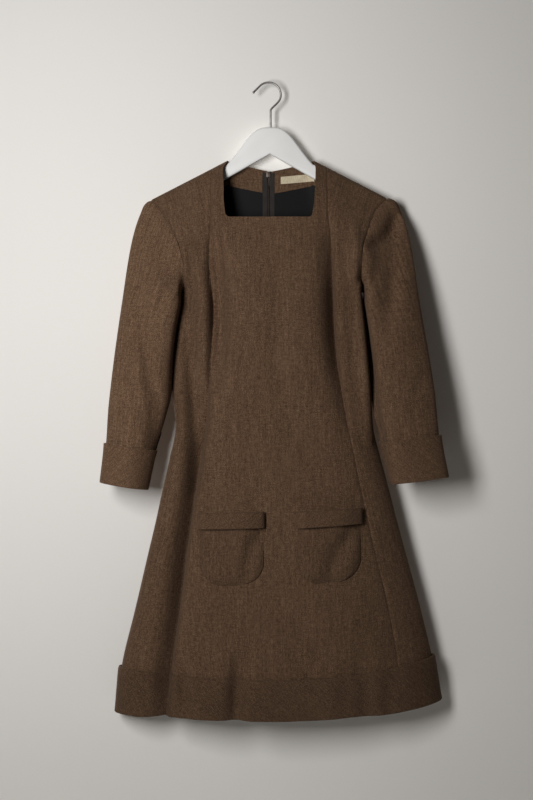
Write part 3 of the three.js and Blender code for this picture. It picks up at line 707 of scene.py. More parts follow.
def ribbonMaterial(name):
    look, wear = ribbonLooks[name], ribbonWear
    material, tree, shader = newMaterial(name)
    uv = tree.nodes.new("ShaderNodeTexCoord").outputs["UV"]
    threads = noiseOf(tree, uv, look["weave"])
    stain = noiseOf(tree, uv, wear["stain"], wear["detail"])
    tone = calculate(tree, "MULTIPLY_ADD", calculate(tree, "SUBTRACT", stain, 0.5), wear["share"], threads)
    colour = rampOf(tree, tone, list(zip(wear["stops"], look["colours"])))
    tree.links.new(colour, shader.inputs["Base Color"])
    setShader(shader, {"Roughness": look["roughness"], "Specular IOR Level": wear["specular"]})
    tree.links.new(bumpOf(tree, threads, look["bump"], wear["relief"]), shader.inputs["Normal"])
    return material


paintLook = {
    "worn": (0.69, 0.683, 0.665),
    "clean": (0.735, 0.728, 0.71),
    "cloud": (18.0, 18.0, 18.0),
    "detail": 3.0,
    "fine": (420.0, 420.0, 420.0),
    "stops": (0.25, 0.6),
    "roughness": (0.2, 0.32),
    "bump": (0.12, 0.0003),
}


def paintMaterial(name, look):
    material, tree, shader = newMaterial(name)
    spot = tree.nodes.new("ShaderNodeTexCoord").outputs["Object"]
    cloud = noiseOf(tree, spot, look["cloud"], look["detail"])
    fine = noiseOf(tree, spot, look["fine"])
    colour = rampOf(tree, cloud, list(zip(look["stops"], (look["worn"], look["clean"]))))
    tree.links.new(colour, shader.inputs["Base Color"])
    rough = calculate(tree, "MULTIPLY_ADD", fine, *look["roughness"])
    tree.links.new(rough, shader.inputs["Roughness"])
    tree.links.new(bumpOf(tree, fine, *look["bump"]), shader.inputs["Normal"])
    return material


# dull and bright colour, least roughness, grain
metalLooks = {
    "nickel": ((0.045, 0.036, 0.03), (0.12, 0.1, 0.085), 0.35, (900.0, 900.0, 160.0)),
    "hookSteel": ((0.17, 0.16, 0.15), (0.36, 0.345, 0.33), 0.28, (300.0, 300.0, 2200.0)),
}
brushing = {"detail": 3.0, "stops": (0.3, 0.7), "roughness": 0.25, "bump": (0.15, 0.0002)}


def metalMaterial(name):
    dull, bright, roughness, grain = metalLooks[name]
    material, tree, shader = newMaterial(name)
    spot = tree.nodes.new("ShaderNodeTexCoord").outputs["Object"]
    brushed = noiseOf(tree, spot, grain, brushing["detail"])
    colour = rampOf(tree, brushed, list(zip(brushing["stops"], (dull, bright))))
    tree.links.new(colour, shader.inputs["Base Color"])
    shader.inputs["Metallic"].default_value = 1.0
    rough = calculate(tree, "MULTIPLY_ADD", brushed, brushing["roughness"], roughness)
    tree.links.new(rough, shader.inputs["Roughness"])
    tree.links.new(bumpOf(tree, brushed, *brushing["bump"]), shader.inputs["Normal"])
    return material


# The darker and lighter copies of the one cloth carry painted shade and painted light.
tweed, biasTweed, hemShadedTweed, bandShadedTweed, pocketShadedTweed, leftLitTweed, leftLitBiasTweed = (
    tweedMaterial(name, tweedLook, *shade) for name, shade in tweedPaintedLight.items()
)
lining = liningMaterial("lining", liningLook)
labelRibbon, zipCloth, coilNylon = (ribbonMaterial(name) for name in ribbonLooks)
nickel, hookSteel = (metalMaterial(name) for name in metalLooks)
hangerPaint = paintMaterial("hangerPaint", paintLook)
print("materials made")


# ---- the body's panels ----

panelRows = {"ridge": [0, 0.25, 0.6, 1.1, 1.8, 2.7, 3.8, 5.2, 7, 9, 11.5, 14.5, 18], "step": 4.0}
# Depth and reach of the dip at each seam. Princess seams keep at least a share of it in a deep
# fold, and armhole seams fade to a share of it, over some drop, at a low level.
seamRolls = {
    "princess": (1.1, 1.7),
    "armhole": (1.2, 1.7),
    "side": (0.5, 1.6),
    "back": (0.7, 1.6),
    "inFold": 18.0,
    "foldShare": 0.4,
    "low": -296.0,
    "lowOver": 50.0,
    "lowShare": 0.15,
}
neckCorner = {"top": -212.0, "power": 2.2, "rows": 10}


def spaced(start, end, step):
    return np.linspace(start, end, max(int(round(abs(end - start) / step)), 1) + 1)


def bodyLevels():
    top = dress["neckLevel"] - np.array(panelRows["ridge"], float)
    turn = np.sin(np.linspace(0, math.pi / 2, neckCorner["rows"]))
    corner = neckCorner["top"] + (dress["neckBottom"] - neckCorner["top"]) * turn
    anchors = [dress["neckBottom"], dress["underarm"], dress["zipEnd"], dress["bandTop"], dress["hem"]]
    parts = [top, spaced(top[-1], neckCorner["top"], panelRows["step"])[1:], corner[1:]]
    for a, b in zip(anchors[:-1], anchors[1:]):
        parts.append(spaced(a, b, panelRows["step"])[1:])
    return np.concatenate(parts)


def blend(a, b, shares):
    return a[:, None] + (b - a)[:, None] * shares[None, :]


levels = bodyLevels()
edges = readTable(outline, levels)
seamLeft = readTable(leftSeam, levels)[0]
seamRight = readTable(rightSeam, levels)[0]
neckLeft, neckRight = readTable(neckEdge, levels)
# The neckline's lower corners are round.
inCorner = np.clip((neckCorner["top"] - levels) / (neckCorner["top"] - dress["neckBottom"]), 0, 1)
roundShare = 1 - (1 - inCorner ** neckCorner["power"]) ** (1 / neckCorner["power"])
isCorner = (levels <= neckCorner["top"]) & (levels >= dress["neckBottom"])
cornerTops = readTable(neckEdge, np.array([neckCorner["top"]]))
cornerFeet = readTable(neckEdge, np.array([dress["neckBottom"]]))
neckLeft = np.where(isCorner, cornerTops[0] + (cornerFeet[0] - cornerTops[0]) * roundShare, neckLeft)
neckRight = np.where(isCorner, cornerTops[1] + (cornerFeet[1] - cornerTops[1]) * roundShare, neckRight)
halfGap = dress["gap"] / 2

# How many columns each stretch has, and how strongly they crowd towards a seam.
columnCounts = {"side": 31, "shoulder": 19, "neck": 45, "backNeck": 21, "backShoulder": 31}
crowding = {"shoulder": 1.5, "backShoulder": 1.7}
bothEnds = (1 - np.cos(np.linspace(0, math.pi, columnCounts["side"]))) / 2
denseStart = np.linspace(0, 1, columnCounts["shoulder"]) ** crowding["shoulder"]
denseEnd = 1 - denseStart[::-1]
middleShares = np.linspace(0, 1, columnCounts["neck"])
frontColumns = {
    "left": blend(edges[0], seamLeft - halfGap, bothEnds),
    "centre": np.concatenate(
        [
            blend(seamLeft + halfGap, neckLeft, denseStart),
            blend(neckLeft, neckRight, middleShares[1:-1]),
            blend(neckRight, seamRight - halfGap, denseEnd),
        ],
        axis=1,
    ),
    "right": blend(seamRight + halfGap, edges[1], bothEnds),
}

zipMouth = {"width": 3.4, "length": 18.0}
mouthOpen = np.clip(1 - (dress["neckLevel"] - dress["backDrop"] - levels) / zipMouth["length"], 0, 1)
mouthHalf = halfGap + zipMouth["width"] / 2 * smooth(mouthOpen)
backNeck = np.linspace(0, 1, columnCounts["backNeck"])
backShoulder = 1 - (1 - np.linspace(0, 1, columnCounts["backShoulder"])) ** crowding["backShoulder"]


# Columns run outwards from the zip, with one on the neck's corner.
def backColumns(sign):
    corner = np.full(len(levels), sign * (dress["neckHalf"] + sign * dress["neckMiddle"]))
    edge = edges[1 if sign > 0 else 0]
    stretches = [blend(sign * mouthHalf, corner, backNeck), blend(corner, edge, backShoulder[1:])]
    columns = np.concatenate(stretches, axis=1)
    return columns if sign > 0 else columns[:, ::-1]


def rollOf(distance, roll):
    depth, reach = roll
    return depth * np.exp(-((distance / reach) ** 2))


def lowArmhole(level):
    return np.clip((level - seamRolls["low"]) / seamRolls["lowOver"], seamRolls["lowShare"], 1)


def seamRoll(sheet, x, level):
    left, right = readTable(outline, level)[:2]
    distance = np.minimum(np.abs(x - left), np.abs(x - right))
    above = level > dress["underarm"]
    atArmhole = rollOf(distance, seamRolls["armhole"]) * lowArmhole(level)
    roll = np.where(above, atArmhole, rollOf(distance, seamRolls["side"]))
    if sheet == "front":
        for table in (leftSeam, rightSeam):
            seamX, depth = readTable(table, level)[:2]
            share = np.clip(1 - depth / seamRolls["inFold"], seamRolls["foldShare"], 1)
            roll = roll + rollOf(np.abs(x - seamX), seamRolls["princess"]) * share
    else:
        roll = roll + np.where(level < dress["zipEnd"], rollOf(np.abs(x), seamRolls["back"]), 0)
    return roll


# The faint unevenness of hanging cloth: two slow waves, that start a way below the shoulders.
sway = {
    "size": 0.5,
    "shares": (0.6, 0.4),
    "across": (17.0, 29.0),
    "down": (61.0, 43.0, 87.0),
    "wander": 0.7,
    "phases": (1.3, 2.1),
    "below": 40.0,
    "over": 60.0,
}


def swayOf(x, z):
    across, down, phases, shares = sway["across"], sway["down"], sway["phases"], sway["shares"]
    a = np.sin(x / across[0] + sway["wander"] * np.sin(z / down[0])) * np.sin(z / down[1] + phases[0])
    b = np.sin(x / across[1] - z / down[2] + phases[1])
    return sway["size"] * (shares[0] * a + shares[1] * b)


bodyCreases = [
    crease([(-95, -175), (-95, -240), (-94, -310)], 10.0, (6, 24)),
    crease([(-84, -262), (-80.5, -310), (-77, -356), (-76.5, -420), (-83, -490)], 29.0, (13, 11.5)),
    crease(
        [(-128, -300), (-126, -380), (-125, -440), (-121, -514), (-118, -600), (-118, -660)], 17.0, (13, 13)
    ),
    crease([(-113, -440), (-112, -560)], 5.0, (14, 14)),
    crease(
        [(-94, -470), (-99, -540)]
        + [(x, level) for level, x, *_ in leftSeam if -940 < level < -600]
        + [(-166, -1040), (-172, -1100)],
        31.0,
        (2.6, 22),
        power=1.4,
    ),
    crease(
        [(99, -262), (102.4, -356), (104.3, -402), (108.4, -452), (114.4, -489), (128, -560)],
        14.0,
        (3, 14),
        power=1.5,
    ),
    crease([(16, -290), (13, -360), (14, -450), (30, -560)], 4.0, (24, 13)),
    crease([(140, -232), (142, -290), (146, -350)], -5.0, (8, 14)),
    crease([(147, -310), (153, -400), (161, -490), (166, -570)], -20.0, (9, 15)),
    crease([(-70, -300), (-66, -420), (-74, -560)], 3.0, (16, 16), face=1),
    crease([(84, -290), (80, -420), (92, -570)], 3.0, (18, 15), face=1),
]
# Folds in the hem run through the band and the panels under it.
hemCreases = [
    crease([(-206, -952), (-199, -975), (-190, -1015)], 4.0, (10, 13)),
    crease([(-168, -935), (-171, -965), (-176, -1025)], 4.0, (13, 14)),
    crease([(-137, -922), (-134, -965), (-129, -1025)], 10.0, (11, 9)),
    crease([(-49, -922), (-51, -970), (-50, -1035)], 11.0, (13, 10)),
    crease([(122, -940), (119, -1030)], 3.5, (12, 14)),
    crease([(153, -930), (154, -1030)], 3.5, (13, 14)),
    crease([(192, -935), (192, -1020)], 4.0, (12, 14)),
    crease([(-80, -950), (-84, -1010)], 3.0, (12, 12), face=1),
    crease([(120, -950), (126, -1010)], 3.0, (12, 12), face=1),
]
# The lower front of an armhole stands forward, and the cloth on both sides of its seam with it.
armholeLift = {
    "left": 8.0,
    "right": 15.0,
    "from": -222.0,
    "to": -338.0,
    "fade": 40.0,
    "body": 30.0,
    "sleeve": 50.0,
}


def liftAt(side, level):
    down = smooth(np.clip((armholeLift["from"] - level) / armholeLift["fade"], 0, 1))
    up = smooth(np.clip((level - armholeLift["to"]) / armholeLift["fade"], 0, 1))
    return armholeLift[side] * down * up


# Creases fade out towards the armhole seams.
armholeHold = {"over": 14.0, "below": -318.0}
# How far the front's hem leans back, from a little above the band's top and over some drop.
hemLean = {"depth": 9.0, "start": 4.0, "over": 66.0, "power": 1.3, "sides": 30.0}
facingFoot = -165.0
panelCuts = {
    "frontCentre": {"flat": (0.378, 0.896), "area": 0.216, "node": "front_centre_panel", "grain": 40},
    "frontSideLeft": {"flat": (0.145, 0.868), "area": 0.068, "node": "front_side_panel_left", "grain": 15},
    "frontSideRight": {"flat": (0.135, 0.868), "area": 0.064, "node": "front_side_panel_right", "grain": 15},
    "backLeft": {"flat": (0.270, 0.890), "area": 0.163, "node": "back_panel_left", "grain": 20},
    "backRight": {"flat": (0.300, 0.890), "area": 0.180, "node": "back_panel_right", "grain": 20},
}


def leanBack(points):
    below = np.clip((dress["bandTop"] + hemLean["start"] - points[..., 2]) / hemLean["over"], 0, 1)
    share = np.clip(-points[..., 1] / hemLean["sides"], 0, 1)
    points[..., 1] += hemLean["depth"] * below ** hemLean["power"] * share
    return points


def bodyPanel(name, sheet, columns, keep=None):
    cut = panelCuts[name]
    rows = levels[:, None] + 0 * columns
    points = bodyAt(sheet, columns, rows, -seamRoll(sheet, columns, rows))
    normals = bodyNormal(sheet, columns, rows)
    swaying = np.clip((dress["neckLevel"] - sway["below"] - rows) / sway["over"], 0, 1)
    points += normals * (swayOf(points[..., 0], points[..., 2]) * swaying)[..., None]
    pressed = pressCreases(points, normals, bodyCreases)
    left, right = readTable(outline, rows)[:2]
    inward = np.minimum(columns - left, right - columns) / armholeHold["over"]
    inward = np.maximum(inward, (armholeHold["below"] - rows) / armholeHold["over"])
    points += (pressed - points) * smooth(np.clip(inward, 0, 1))[..., None]
    points = pressCreases(points, normals, hemCreases)
    if sheet == "front":
        for side, beside in (("left", columns - left), ("right", right - columns)):
            points[..., 1] -= liftAt(side, rows) * smooth(np.clip(1 - beside / armholeLift["body"], 0, 1))
    points = leanBack(points)
    piece = gridPiece(name, points, clothUv(points, cut["grain"]), keep, flip=sheet == "back")
    lined = (dress["bandTop"], facingFoot)
    finish(piece, [tweed, lining], "tweed", cut["node"], dress["cloth"], lined)


neckRow = int(np.argmin(np.abs(levels - dress["neckBottom"])))
firstMiddle = len(denseStart) - 1
lastMiddle = firstMiddle + len(middleShares) - 2


def belowNeck(j, i):
    return (j >= neckRow) | (i < firstMiddle) | (i > lastMiddle)


bodyPanel("frontCentre", "front", frontColumns["centre"], belowNeck)
bodyPanel("frontSideLeft", "front", frontColumns["left"])
bodyPanel("frontSideRight", "front", frontColumns["right"])
bodyPanel("backLeft", "back", backColumns(-1))
bodyPanel("backRight", "back", backColumns(1))
print("body panels made")


# ---- folded bands: a closed section of doubled cloth, swept along ----


bandTurns = (90, 60, 30)


# Rows of the section, from the top fold down the outer face and up the inner one: how far
# down the band each one is, and its distance out.
def bandSection(drop, under, thickness, step):
    half = thickness / 2
    turns = np.radians(bandTurns)
    sines, cosines = half * np.sin(turns), half * np.cos(turns)
    down = spaced(half, drop - half, step)
    middle = under + half
    rows = [(half - s, middle + c) for s, c in zip(sines, cosines)]
    rows += [(d, under + thickness) for d in down]
    rows += [(drop - half + s, middle + c) for s, c in zip(sines[::-1], cosines[::-1])]
    rows += [(drop - half + s, middle - c) for s, c in zip(sines[1:], cosines[1:])]
    rows += [(d, under) for d in down[::-2]]
    rows += [(half - s, middle - c) for s, c in zip(sines[:0:-1], cosines[:0:-1])]
    return np.array(rows)


hemBand = {
    "stand": [(0, 1.2), (5, 2.2), (14, 1.8), (31, 1.2), (64, 0.6)],
    "flats": {"front": (0.585, 0.066), "back": (0.545, 0.066)},
    "step": 4.0,
    "cornerDrop": [(-260, 5.0), (-205, 4.0), (-150, 0.0), (135, 0.0), (190, 4.0), (270, 5.0)],
    "turn": {"front": -45.0, "back": 45.0},
    "columns": 131,
    "crowding": 0.055,
}


def hemBandOf(sheet):
    drop = dress["bandTop"] - dress["hem"]
    section = bandSection(drop, dress["gap"], dress["doubled"], hemBand["step"])
    rows = dress["bandTop"] - section[:, 0]
    stand = np.interp(section[:, 0], *np.array(hemBand["stand"]).T)
    left, right = readTable(outline, rows)[:2]
    shares = np.linspace(0, 1, hemBand["columns"])
    shares = shares - hemBand["crowding"] * np.sin(2 * math.pi * shares)
    columns = blend(left, right, shares)
    rows = rows[:, None] + 0 * columns
    out = section[:, 1:2] + stand[:, None] + 0 * columns
    points = bodyAt(sheet, columns, rows, out)
    lowest = smooth(np.clip(section[:, 0] / drop, 0, 1))[:, None]
    points[..., 2] -= dress["hemTurn"] * lowest**2
    points[..., 2] -= np.interp(points[..., 0], *np.array(hemBand["cornerDrop"]).T) * lowest
    normals = bodyNormal(sheet, columns, rows)
    points = pressCreases(points, normals, bodyCreases)
    points = leanBack(pressCreases(points, normals, hemCreases))
    turn = math.radians(hemBand["turn"][sheet])
    uv = clothUv(np.concatenate([points, points[:1]]), hemBand["columns"] // 2, turn)
    piece = gridPiece("hemBand" + sheet.capitalize(), points, uv, flip=sheet == "back", closeRows=True)
    # The hem band's cloth is darker as painted shade.
    finish(piece, [hemShadedTweed], "bias_tweed", "hem_band_" + sheet)


hemBandOf("front")
hemBandOf("back")
print("hem band made")


# ---- sleeves and cuffs ----


armholeRows = {"step": 4.5, "turn": -300.0, "drop": 40.0, "rows": 12}
armholeStep = 3.0


def armholeLevels():
    top = dress["neckLevel"] - np.array(panelRows["ridge"], float)
    rest = spaced(top[-1], armholeRows["turn"], armholeRows["step"])[1:]
    turn = 1 - np.sin(np.linspace(0, math.pi / 2, armholeRows["rows"]))
    return np.concatenate([top, rest, dress["underarm"] + armholeRows["drop"] * turn[1:]])


def armhole(side, out):
    sign = -1 if side == "left" else 1
    rows = armholeLevels()
    x = readTable(outline, rows)[0 if side == "left" else 1]
    edgesOf = {}
    for sheet in ("front", "back"):
        point = bodyAt(sheet, x, rows, np.full(len(rows), out))
        before = bodyAt(sheet, x - sign * armholeStep, rows, np.full(len(rows), out))
        edgesOf[sheet] = point + unit(point - before) * dress["gap"]
    front, back = edgesOf["front"], edgesOf["back"]
    top = (front[:1] + back[:1]) / 2 + [[sign * dress["gap"], 0, 0]]
    bottom = (front[-1:] + back[-1:]) / 2 + [[sign * dress["gap"] * 2, 0, 0]]
    return np.concatenate([top, front[1:-1], bottom, back[1:-1][::-1]]), len(rows) - 1


# Each ring point keeps one angle down the sleeve: 0 at the shoulder, pi at the underarm.
def ringAngles(side):
    loop, half = armhole(side, 0)
    steps = np.linalg.norm(np.roll(loop, -1, axis=0) - loop, axis=1)
    run = np.concatenate([[0], np.cumsum(steps)])
    k = np.arange(len(loop))
    down = math.pi * run[k] / run[half]
    up = math.pi * (1 + (run[k] - run[half]) / (run[-1] - run[half]))
    return np.where(k <= half, down, up)


def sleevePoint(side, angle, z, out):
    outer, inner, y, depth, lean = readTable(sleeveSections[side], z)
    centre, half = (outer + inner) / 2, (outer - inner) / 2
    dx = (half + np.sign(half) * out) * np.cos(angle)
    forward = np.sin(angle)
    front = np.clip(forward, 0, 1)
    shape = {key: np.interp(z, *np.array(table).T) for key, table in sleeveFront[side].items()}
    towardsOuter = smooth((1 + np.cos(angle)) / 2)
    roundness = shape["inner"] + (shape["outer"] - shape["inner"]) * towardsOuter
    forward = np.where(forward > 0, front**roundness, forward)
    tilt = np.where(np.cos(angle) > 0, shape["outerTilt"], shape["innerTilt"])
    turned = tilt * dx * np.sqrt(front)
    behind = smooth(np.clip(-dress["fillTurn"] * np.sin(angle), 0, 1)) * np.clip(-np.cos(angle), 0, 1)
    dx = dx - np.sign(half) * shape["fill"] * behind
    return np.stack([centre + dx, y - (depth + out) * forward + turned, z - lean * dx], axis=-1)


sleeves = {
    "capRows": 30,
    "crowding": 1.25,
    "step": 4.0,
    "roll": (1.4, 2.0),
    "seamHold": 16.0,
    "swayHold": 40.0,
    "turnUp": 45.0,
    "mapStart": 25.0,
    "mapOver": 60.0,
    "head": {"left": (1.8, 12, 10), "right": (3.0, 16, 12)},
    "headTurn": 0.3,
    "flats": {"left": ((0.262, 0.505), 0.104), "right": ((0.256, 0.500), 0.100)},
    # The left sleeve's cloth is lighter as painted light.
    "cloths": {"left": leftLitTweed, "right": tweed},
    "creases": {
        "left": [
            crease(
                [(-212, -300), (-200, -380), (-196, -430), (-188, -475), (-181, -514), (-181, -600)],
                9.0,
                (10, 11),
            ),
            crease([(-177, -484), (-173, -512), (-173, -550)], 2.5, (9, 3.5)),
            crease([(-190, -430), (-200, -480), (-214, -520)], 3.0, (10, 10), face=1),
        ],
        "right": [
            crease([(212, -212), (206, -232), (198, -250), (168, -268)], 17.0, (7, 15)),
            crease([(200, -258), (198, -310), (190, -370), (184, -430)], 12.0, (14, 25)),
            crease([(176, -424), (180, -455)], 2.4, (4, 6)),
            crease([(184, -428), (187, -452)], 1.8, (4, 5)),
            crease([(196, -300), (205, -360), (212, -410)], 1.6, (14, 12)),
            crease([(252, -470), (238, -500), (220, -512)], 1.4, (12, 10)),
            crease([(196, -430), (206, -480), (222, -520)], 3.0, (10, 10), face=1),
        ],
    },
}


def sleeveGrid(side, out=0.0):
    angles = ringAngles(side)
    start, half = armhole(side, out)
    first = sleeveSections[side][0][0]
    leave = np.array([cap["leave"][side][0], 0, cap["leave"][side][1]])
    to = sleevePoint(side, angles, np.full(len(angles), float(first)), out)
    arrive = unit(sleevePoint(side, angles, np.full(len(angles), first - armholeStep), out) - to)
    length = np.linalg.norm(to - start, axis=1)[:, None]
    rings = []
    for t in np.linspace(0, 1, sleeves["capRows"] + 1)[:-1] ** sleeves["crowding"]:
        ring = start + (to - start) * smooth(t)
        ring = ring + leave * length * cap["leavePull"] * t * (1 - t) ** 2
        rings.append(ring - arrive * length * cap["arrivePull"] * t * t * (1 - t))
    for z in spaced(first, cuffs[side]["sleeveEnd"], sleeves["step"]):
        rings.append(sleevePoint(side, angles, np.full(len(angles), z), out))
    return np.array(rings), angles


# The grain of a sleeve runs along its outer edge, and its map opens at the underarm.
def sleeveUv(points, shoulder, first):
    edge = points[:, shoulder]
    run = np.concatenate([[0], np.cumsum(np.linalg.norm(np.diff(edge, axis=0), axis=1))])
    order = np.argsort(edge[:, 2])
    height = points[..., 2]
    offset = [points[..., k] - np.interp(height, edge[order, 2], edge[order, k]) for k in (0, 1)]
    straight = np.hypot(*offset) * np.where(np.arange(points.shape[1]) < shoulder, -1.0, 1.0)
    straight = np.concatenate([straight, -straight[:, :1]], axis=1)
    around = clothUv(points, shoulder, wrap=True)[..., 0] / mm
    height = np.concatenate([height, height[:, :1]], axis=1)
    share = np.clip((first + sleeves["mapStart"] - height) / sleeves["mapOver"], 0, 1)
    across = straight + (around - straight) * share
    down = -np.interp(height, edge[order, 2], run[order])
    return np.stack([across, down], axis=-1) * mm


def openAtUnderarm(grid, half):
    return np.roll(grid, -half, axis=-1 if grid.ndim == 1 else 1)


def makeSleeve(side):
    points, angles = sleeveGrid(side)
    half = armhole(side, 0)[1]
    shoulder = len(angles) - half
    lift = np.zeros(len(angles))
    lift[1:half] = liftAt(side, armholeLevels()[1:half])
    lift = openAtUnderarm(lift, half)
    points, angles = openAtUnderarm(points, half), openAtUnderarm(angles, half)
    normals = gridNormals(points, wrap=True) * (-1 if side == "right" else 1)
    run = np.linalg.norm(np.diff(points, axis=0), axis=-1)
    run = np.concatenate([np.zeros((1, len(angles))), np.cumsum(run, axis=0)])
    depth, reach = sleeves["roll"]
    rise, at, width = sleeves["head"][side]
    head = rise * np.exp(-(((run - at) / width) ** 2)) * np.clip(sleeves["headTurn"] + np.cos(angles), 0, 1)
    away = head - depth * np.exp(-((run / reach) ** 2)) * lowArmhole(points[:1, :, 2])
    away += swayOf(points[..., 0], points[..., 2]) * np.clip(run / sleeves["swayHold"], 0, 1)
    points = points + normals * away[..., None]
    pressed = pressCreases(points, normals, sleeves["creases"][side])
    points += (pressed - points) * smooth(np.clip(run / sleeves["seamHold"], 0, 1))[..., None]
    points[..., 1] -= lift * smooth(np.clip(1 - run / armholeLift["sleeve"], 0, 1))
    uv = sleeveUv(points, shoulder, sleeveSections[side][0][0])
    piece = gridPiece("sleeve" + side.capitalize(), points, uv, wrap=True, flip=side == "right")
    lined = (cuffs[side]["sleeveEnd"] + sleeves["turnUp"], 0)
    finish(piece, [sleeves["cloths"][side], lining], "tweed", "sleeve_" + side, dress["cloth"], lined)
    return piece


cuffLook = {
    "stand": [(0, 1.1), (14, 0.7), (64, 0.4)],
    "step": 4.0,
    "turn": 45.0,
    "flats": {"left": (0.226, 0.065), "right": (0.222, 0.069)},
    # The left cuff's cloth is lighter as painted light.
    "cloths": {"left": leftLitBiasTweed, "right": biasTweed},
    "creases": [crease([(232, -572), (238, -605), (246, -655)], 0.6, (14, 12))],
}


def makeCuff(side, sleeve):
    ends = cuffs[side]
    section = bandSection(ends["top"] - ends["bottom"], dress["gap"], dress["doubled"], cuffLook["step"])
    stand = np.interp(section[:, 0], *np.array(cuffLook["stand"]).T)
    half = armhole(side, 0)[1]
    angles = openAtUnderarm(ringAngles(side), half)
    places = zip(ends["top"] - section[:, 0], section[:, 1] + stand)
    points = np.array([sleevePoint(side, angles, np.full(len(angles), z), out) for z, out in places])
    normals = unit(points - points.mean(axis=1, keepdims=True))
    points = pressCreases(points, normals, cuffLook["creases"])
    closed = np.concatenate([points, points[:1]])
    uv = clothUv(closed, len(angles) - half, math.radians(cuffLook["turn"]), wrap=True)
    piece = gridPiece("cuff" + side.capitalize(), points, uv, wrap=True, flip=side == "right", closeRows=True)
    finish(piece, [cuffLook["cloths"][side]], "bias_tweed", "cuff_" + side)


for side in ("left", "right"):
    makeCuff(side, makeSleeve(side))
print("sleeves and cuffs made")


# ---- patch pockets ----

pockets = {
    "left": {"centre": -58.5, "top": -692.5, "bottom": -806.5, "half": 50.0, "tilt": 0.04},
    "right": {"centre": 95.0, "top": -689.5, "bottom": -804.0, "half": 49.5, "tilt": 0.035},
}
pocketLook = {
    "corner": 35.0,
    "columns": 41,
    "cornerRows": 15,
    "step": 3.5,
    "thickness": 1.5,
    "edgeLift": 1.0,
    "rim": (4.6, 6.0),
    "rimPower": 1.2,
    "bagLift": 5.0,
    "bagReach": (14.0, 34.0, 26.0),
    "mouth": {"lift": 1.2, "drop": 40.0, "side": 18.0},
    "groove": {"at": 28.0, "depth": 3.2, "width": 2.6, "side": 8.0},
    "flat": (0.101, 0.116),
    "area": 0.0108,
    "creases": {
        "left": [crease([(-9, -712), (-15, -728), (-28, -752), (-33, -772), (-37, -800)], 8.0, (12, 13))],
        "right": [
            crease(
                [(137, -698), (128, -726), (119, -741), (110, -757), (101, -778), (94, -798)],
                9.0,
                (14, 14),
            )
        ],
    },
}
pocketBand = {
    "height": 26.0,
    "thickness": 3.6,
    "overhang": 2.0,
    "clear": 0.2,
    "lift": 0.6,
    "edge": 2.5,
    "bulge": {"height": 0.5, "at": 20.0, "width": 9.0},
    "turn": 45.0,
    "flat": (0.104, 0.0265),
}
pocketShares = np.sin(np.linspace(-1, 1, pocketLook["columns"]) * math.pi / 2)
pocketGrain = pocketLook["columns"] // 2


def pocketHalf(pocket, drop):
    corner = pocketLook["corner"]
    inCorner = np.maximum(corner - (pocket["top"] - pocket["bottom"] - drop), 0)
    return pocket["half"] - corner + np.sqrt(np.maximum(corner**2 - inCorner**2, 0))


def pocketAt(pocket, x, drop, out):
    level = pocket["top"] - drop + pocket["tilt"] * (x - pocket["centre"])
    return bodyAt("front", x, level, out)


# How far a pocket stands off the skirt: it is round at its edges and fuller in the middle.
def pocketRise(fromLeft, fromRight, fromBottom, drop):
    fromSide = np.minimum(fromLeft, fromRight)
    rise, reach = pocketLook["rim"]
    edge = (np.minimum(fromSide, fromBottom) / reach) ** pocketLook["rimPower"]
    bag = pocketLook["bagLift"]
    for distance, over in zip((fromLeft, fromRight, fromBottom), pocketLook["bagReach"]):
        bag = bag * smooth(np.clip(distance / over, 0, 1))
    mouth = pocketLook["mouth"]
    atMouth = np.exp(-((drop / mouth["drop"]) ** 2)) * smooth(np.clip(fromSide / mouth["side"], 0, 1))
    return rise * (1 - np.exp(-edge)) + bag + atMouth * mouth["lift"]


def makePocket(side):
    pocket, corner, groove = pockets[side], pocketLook["corner"], pocketLook["groove"]
    height = pocket["top"] - pocket["bottom"]
    turn = 1 - np.sin(np.linspace(0, math.pi / 2, pocketLook["cornerRows"]))
    drops = np.concatenate([spaced(0, height - corner, pocketLook["step"]), height - corner * turn[1:]])
    half = pocketHalf(pocket, drops)[:, None]
    x = pocket["centre"] + half * pocketShares[None, :]
    drop = drops[:, None] + 0 * x
    fromLeft, fromRight = half * (1 + pocketShares[None, :]), half * (1 - pocketShares[None, :])
    dip = groove["depth"] * np.exp(-(((drop - groove["at"]) / groove["width"]) ** 2))
    dip = dip * smooth(np.clip(np.minimum(fromLeft, fromRight) / groove["side"], 0, 1))
    rise = pocketRise(fromLeft, fromRight, height - drop, drop)
    points = pocketAt(pocket, x, drop, pocketLook["edgeLift"] + pocketLook["thickness"] + rise - dip)
    points = pressCreases(points, gridNormals(points), pocketLook["creases"][side])
    piece = gridPiece("pocket" + side.capitalize(), points, clothUv(points, pocketGrain))
    # The pocket's cloth is darker as painted shade.
    finish(piece, [pocketShadedTweed], "tweed", "pocket_" + side, pocketLook["thickness"], degrees=60)
    return piece


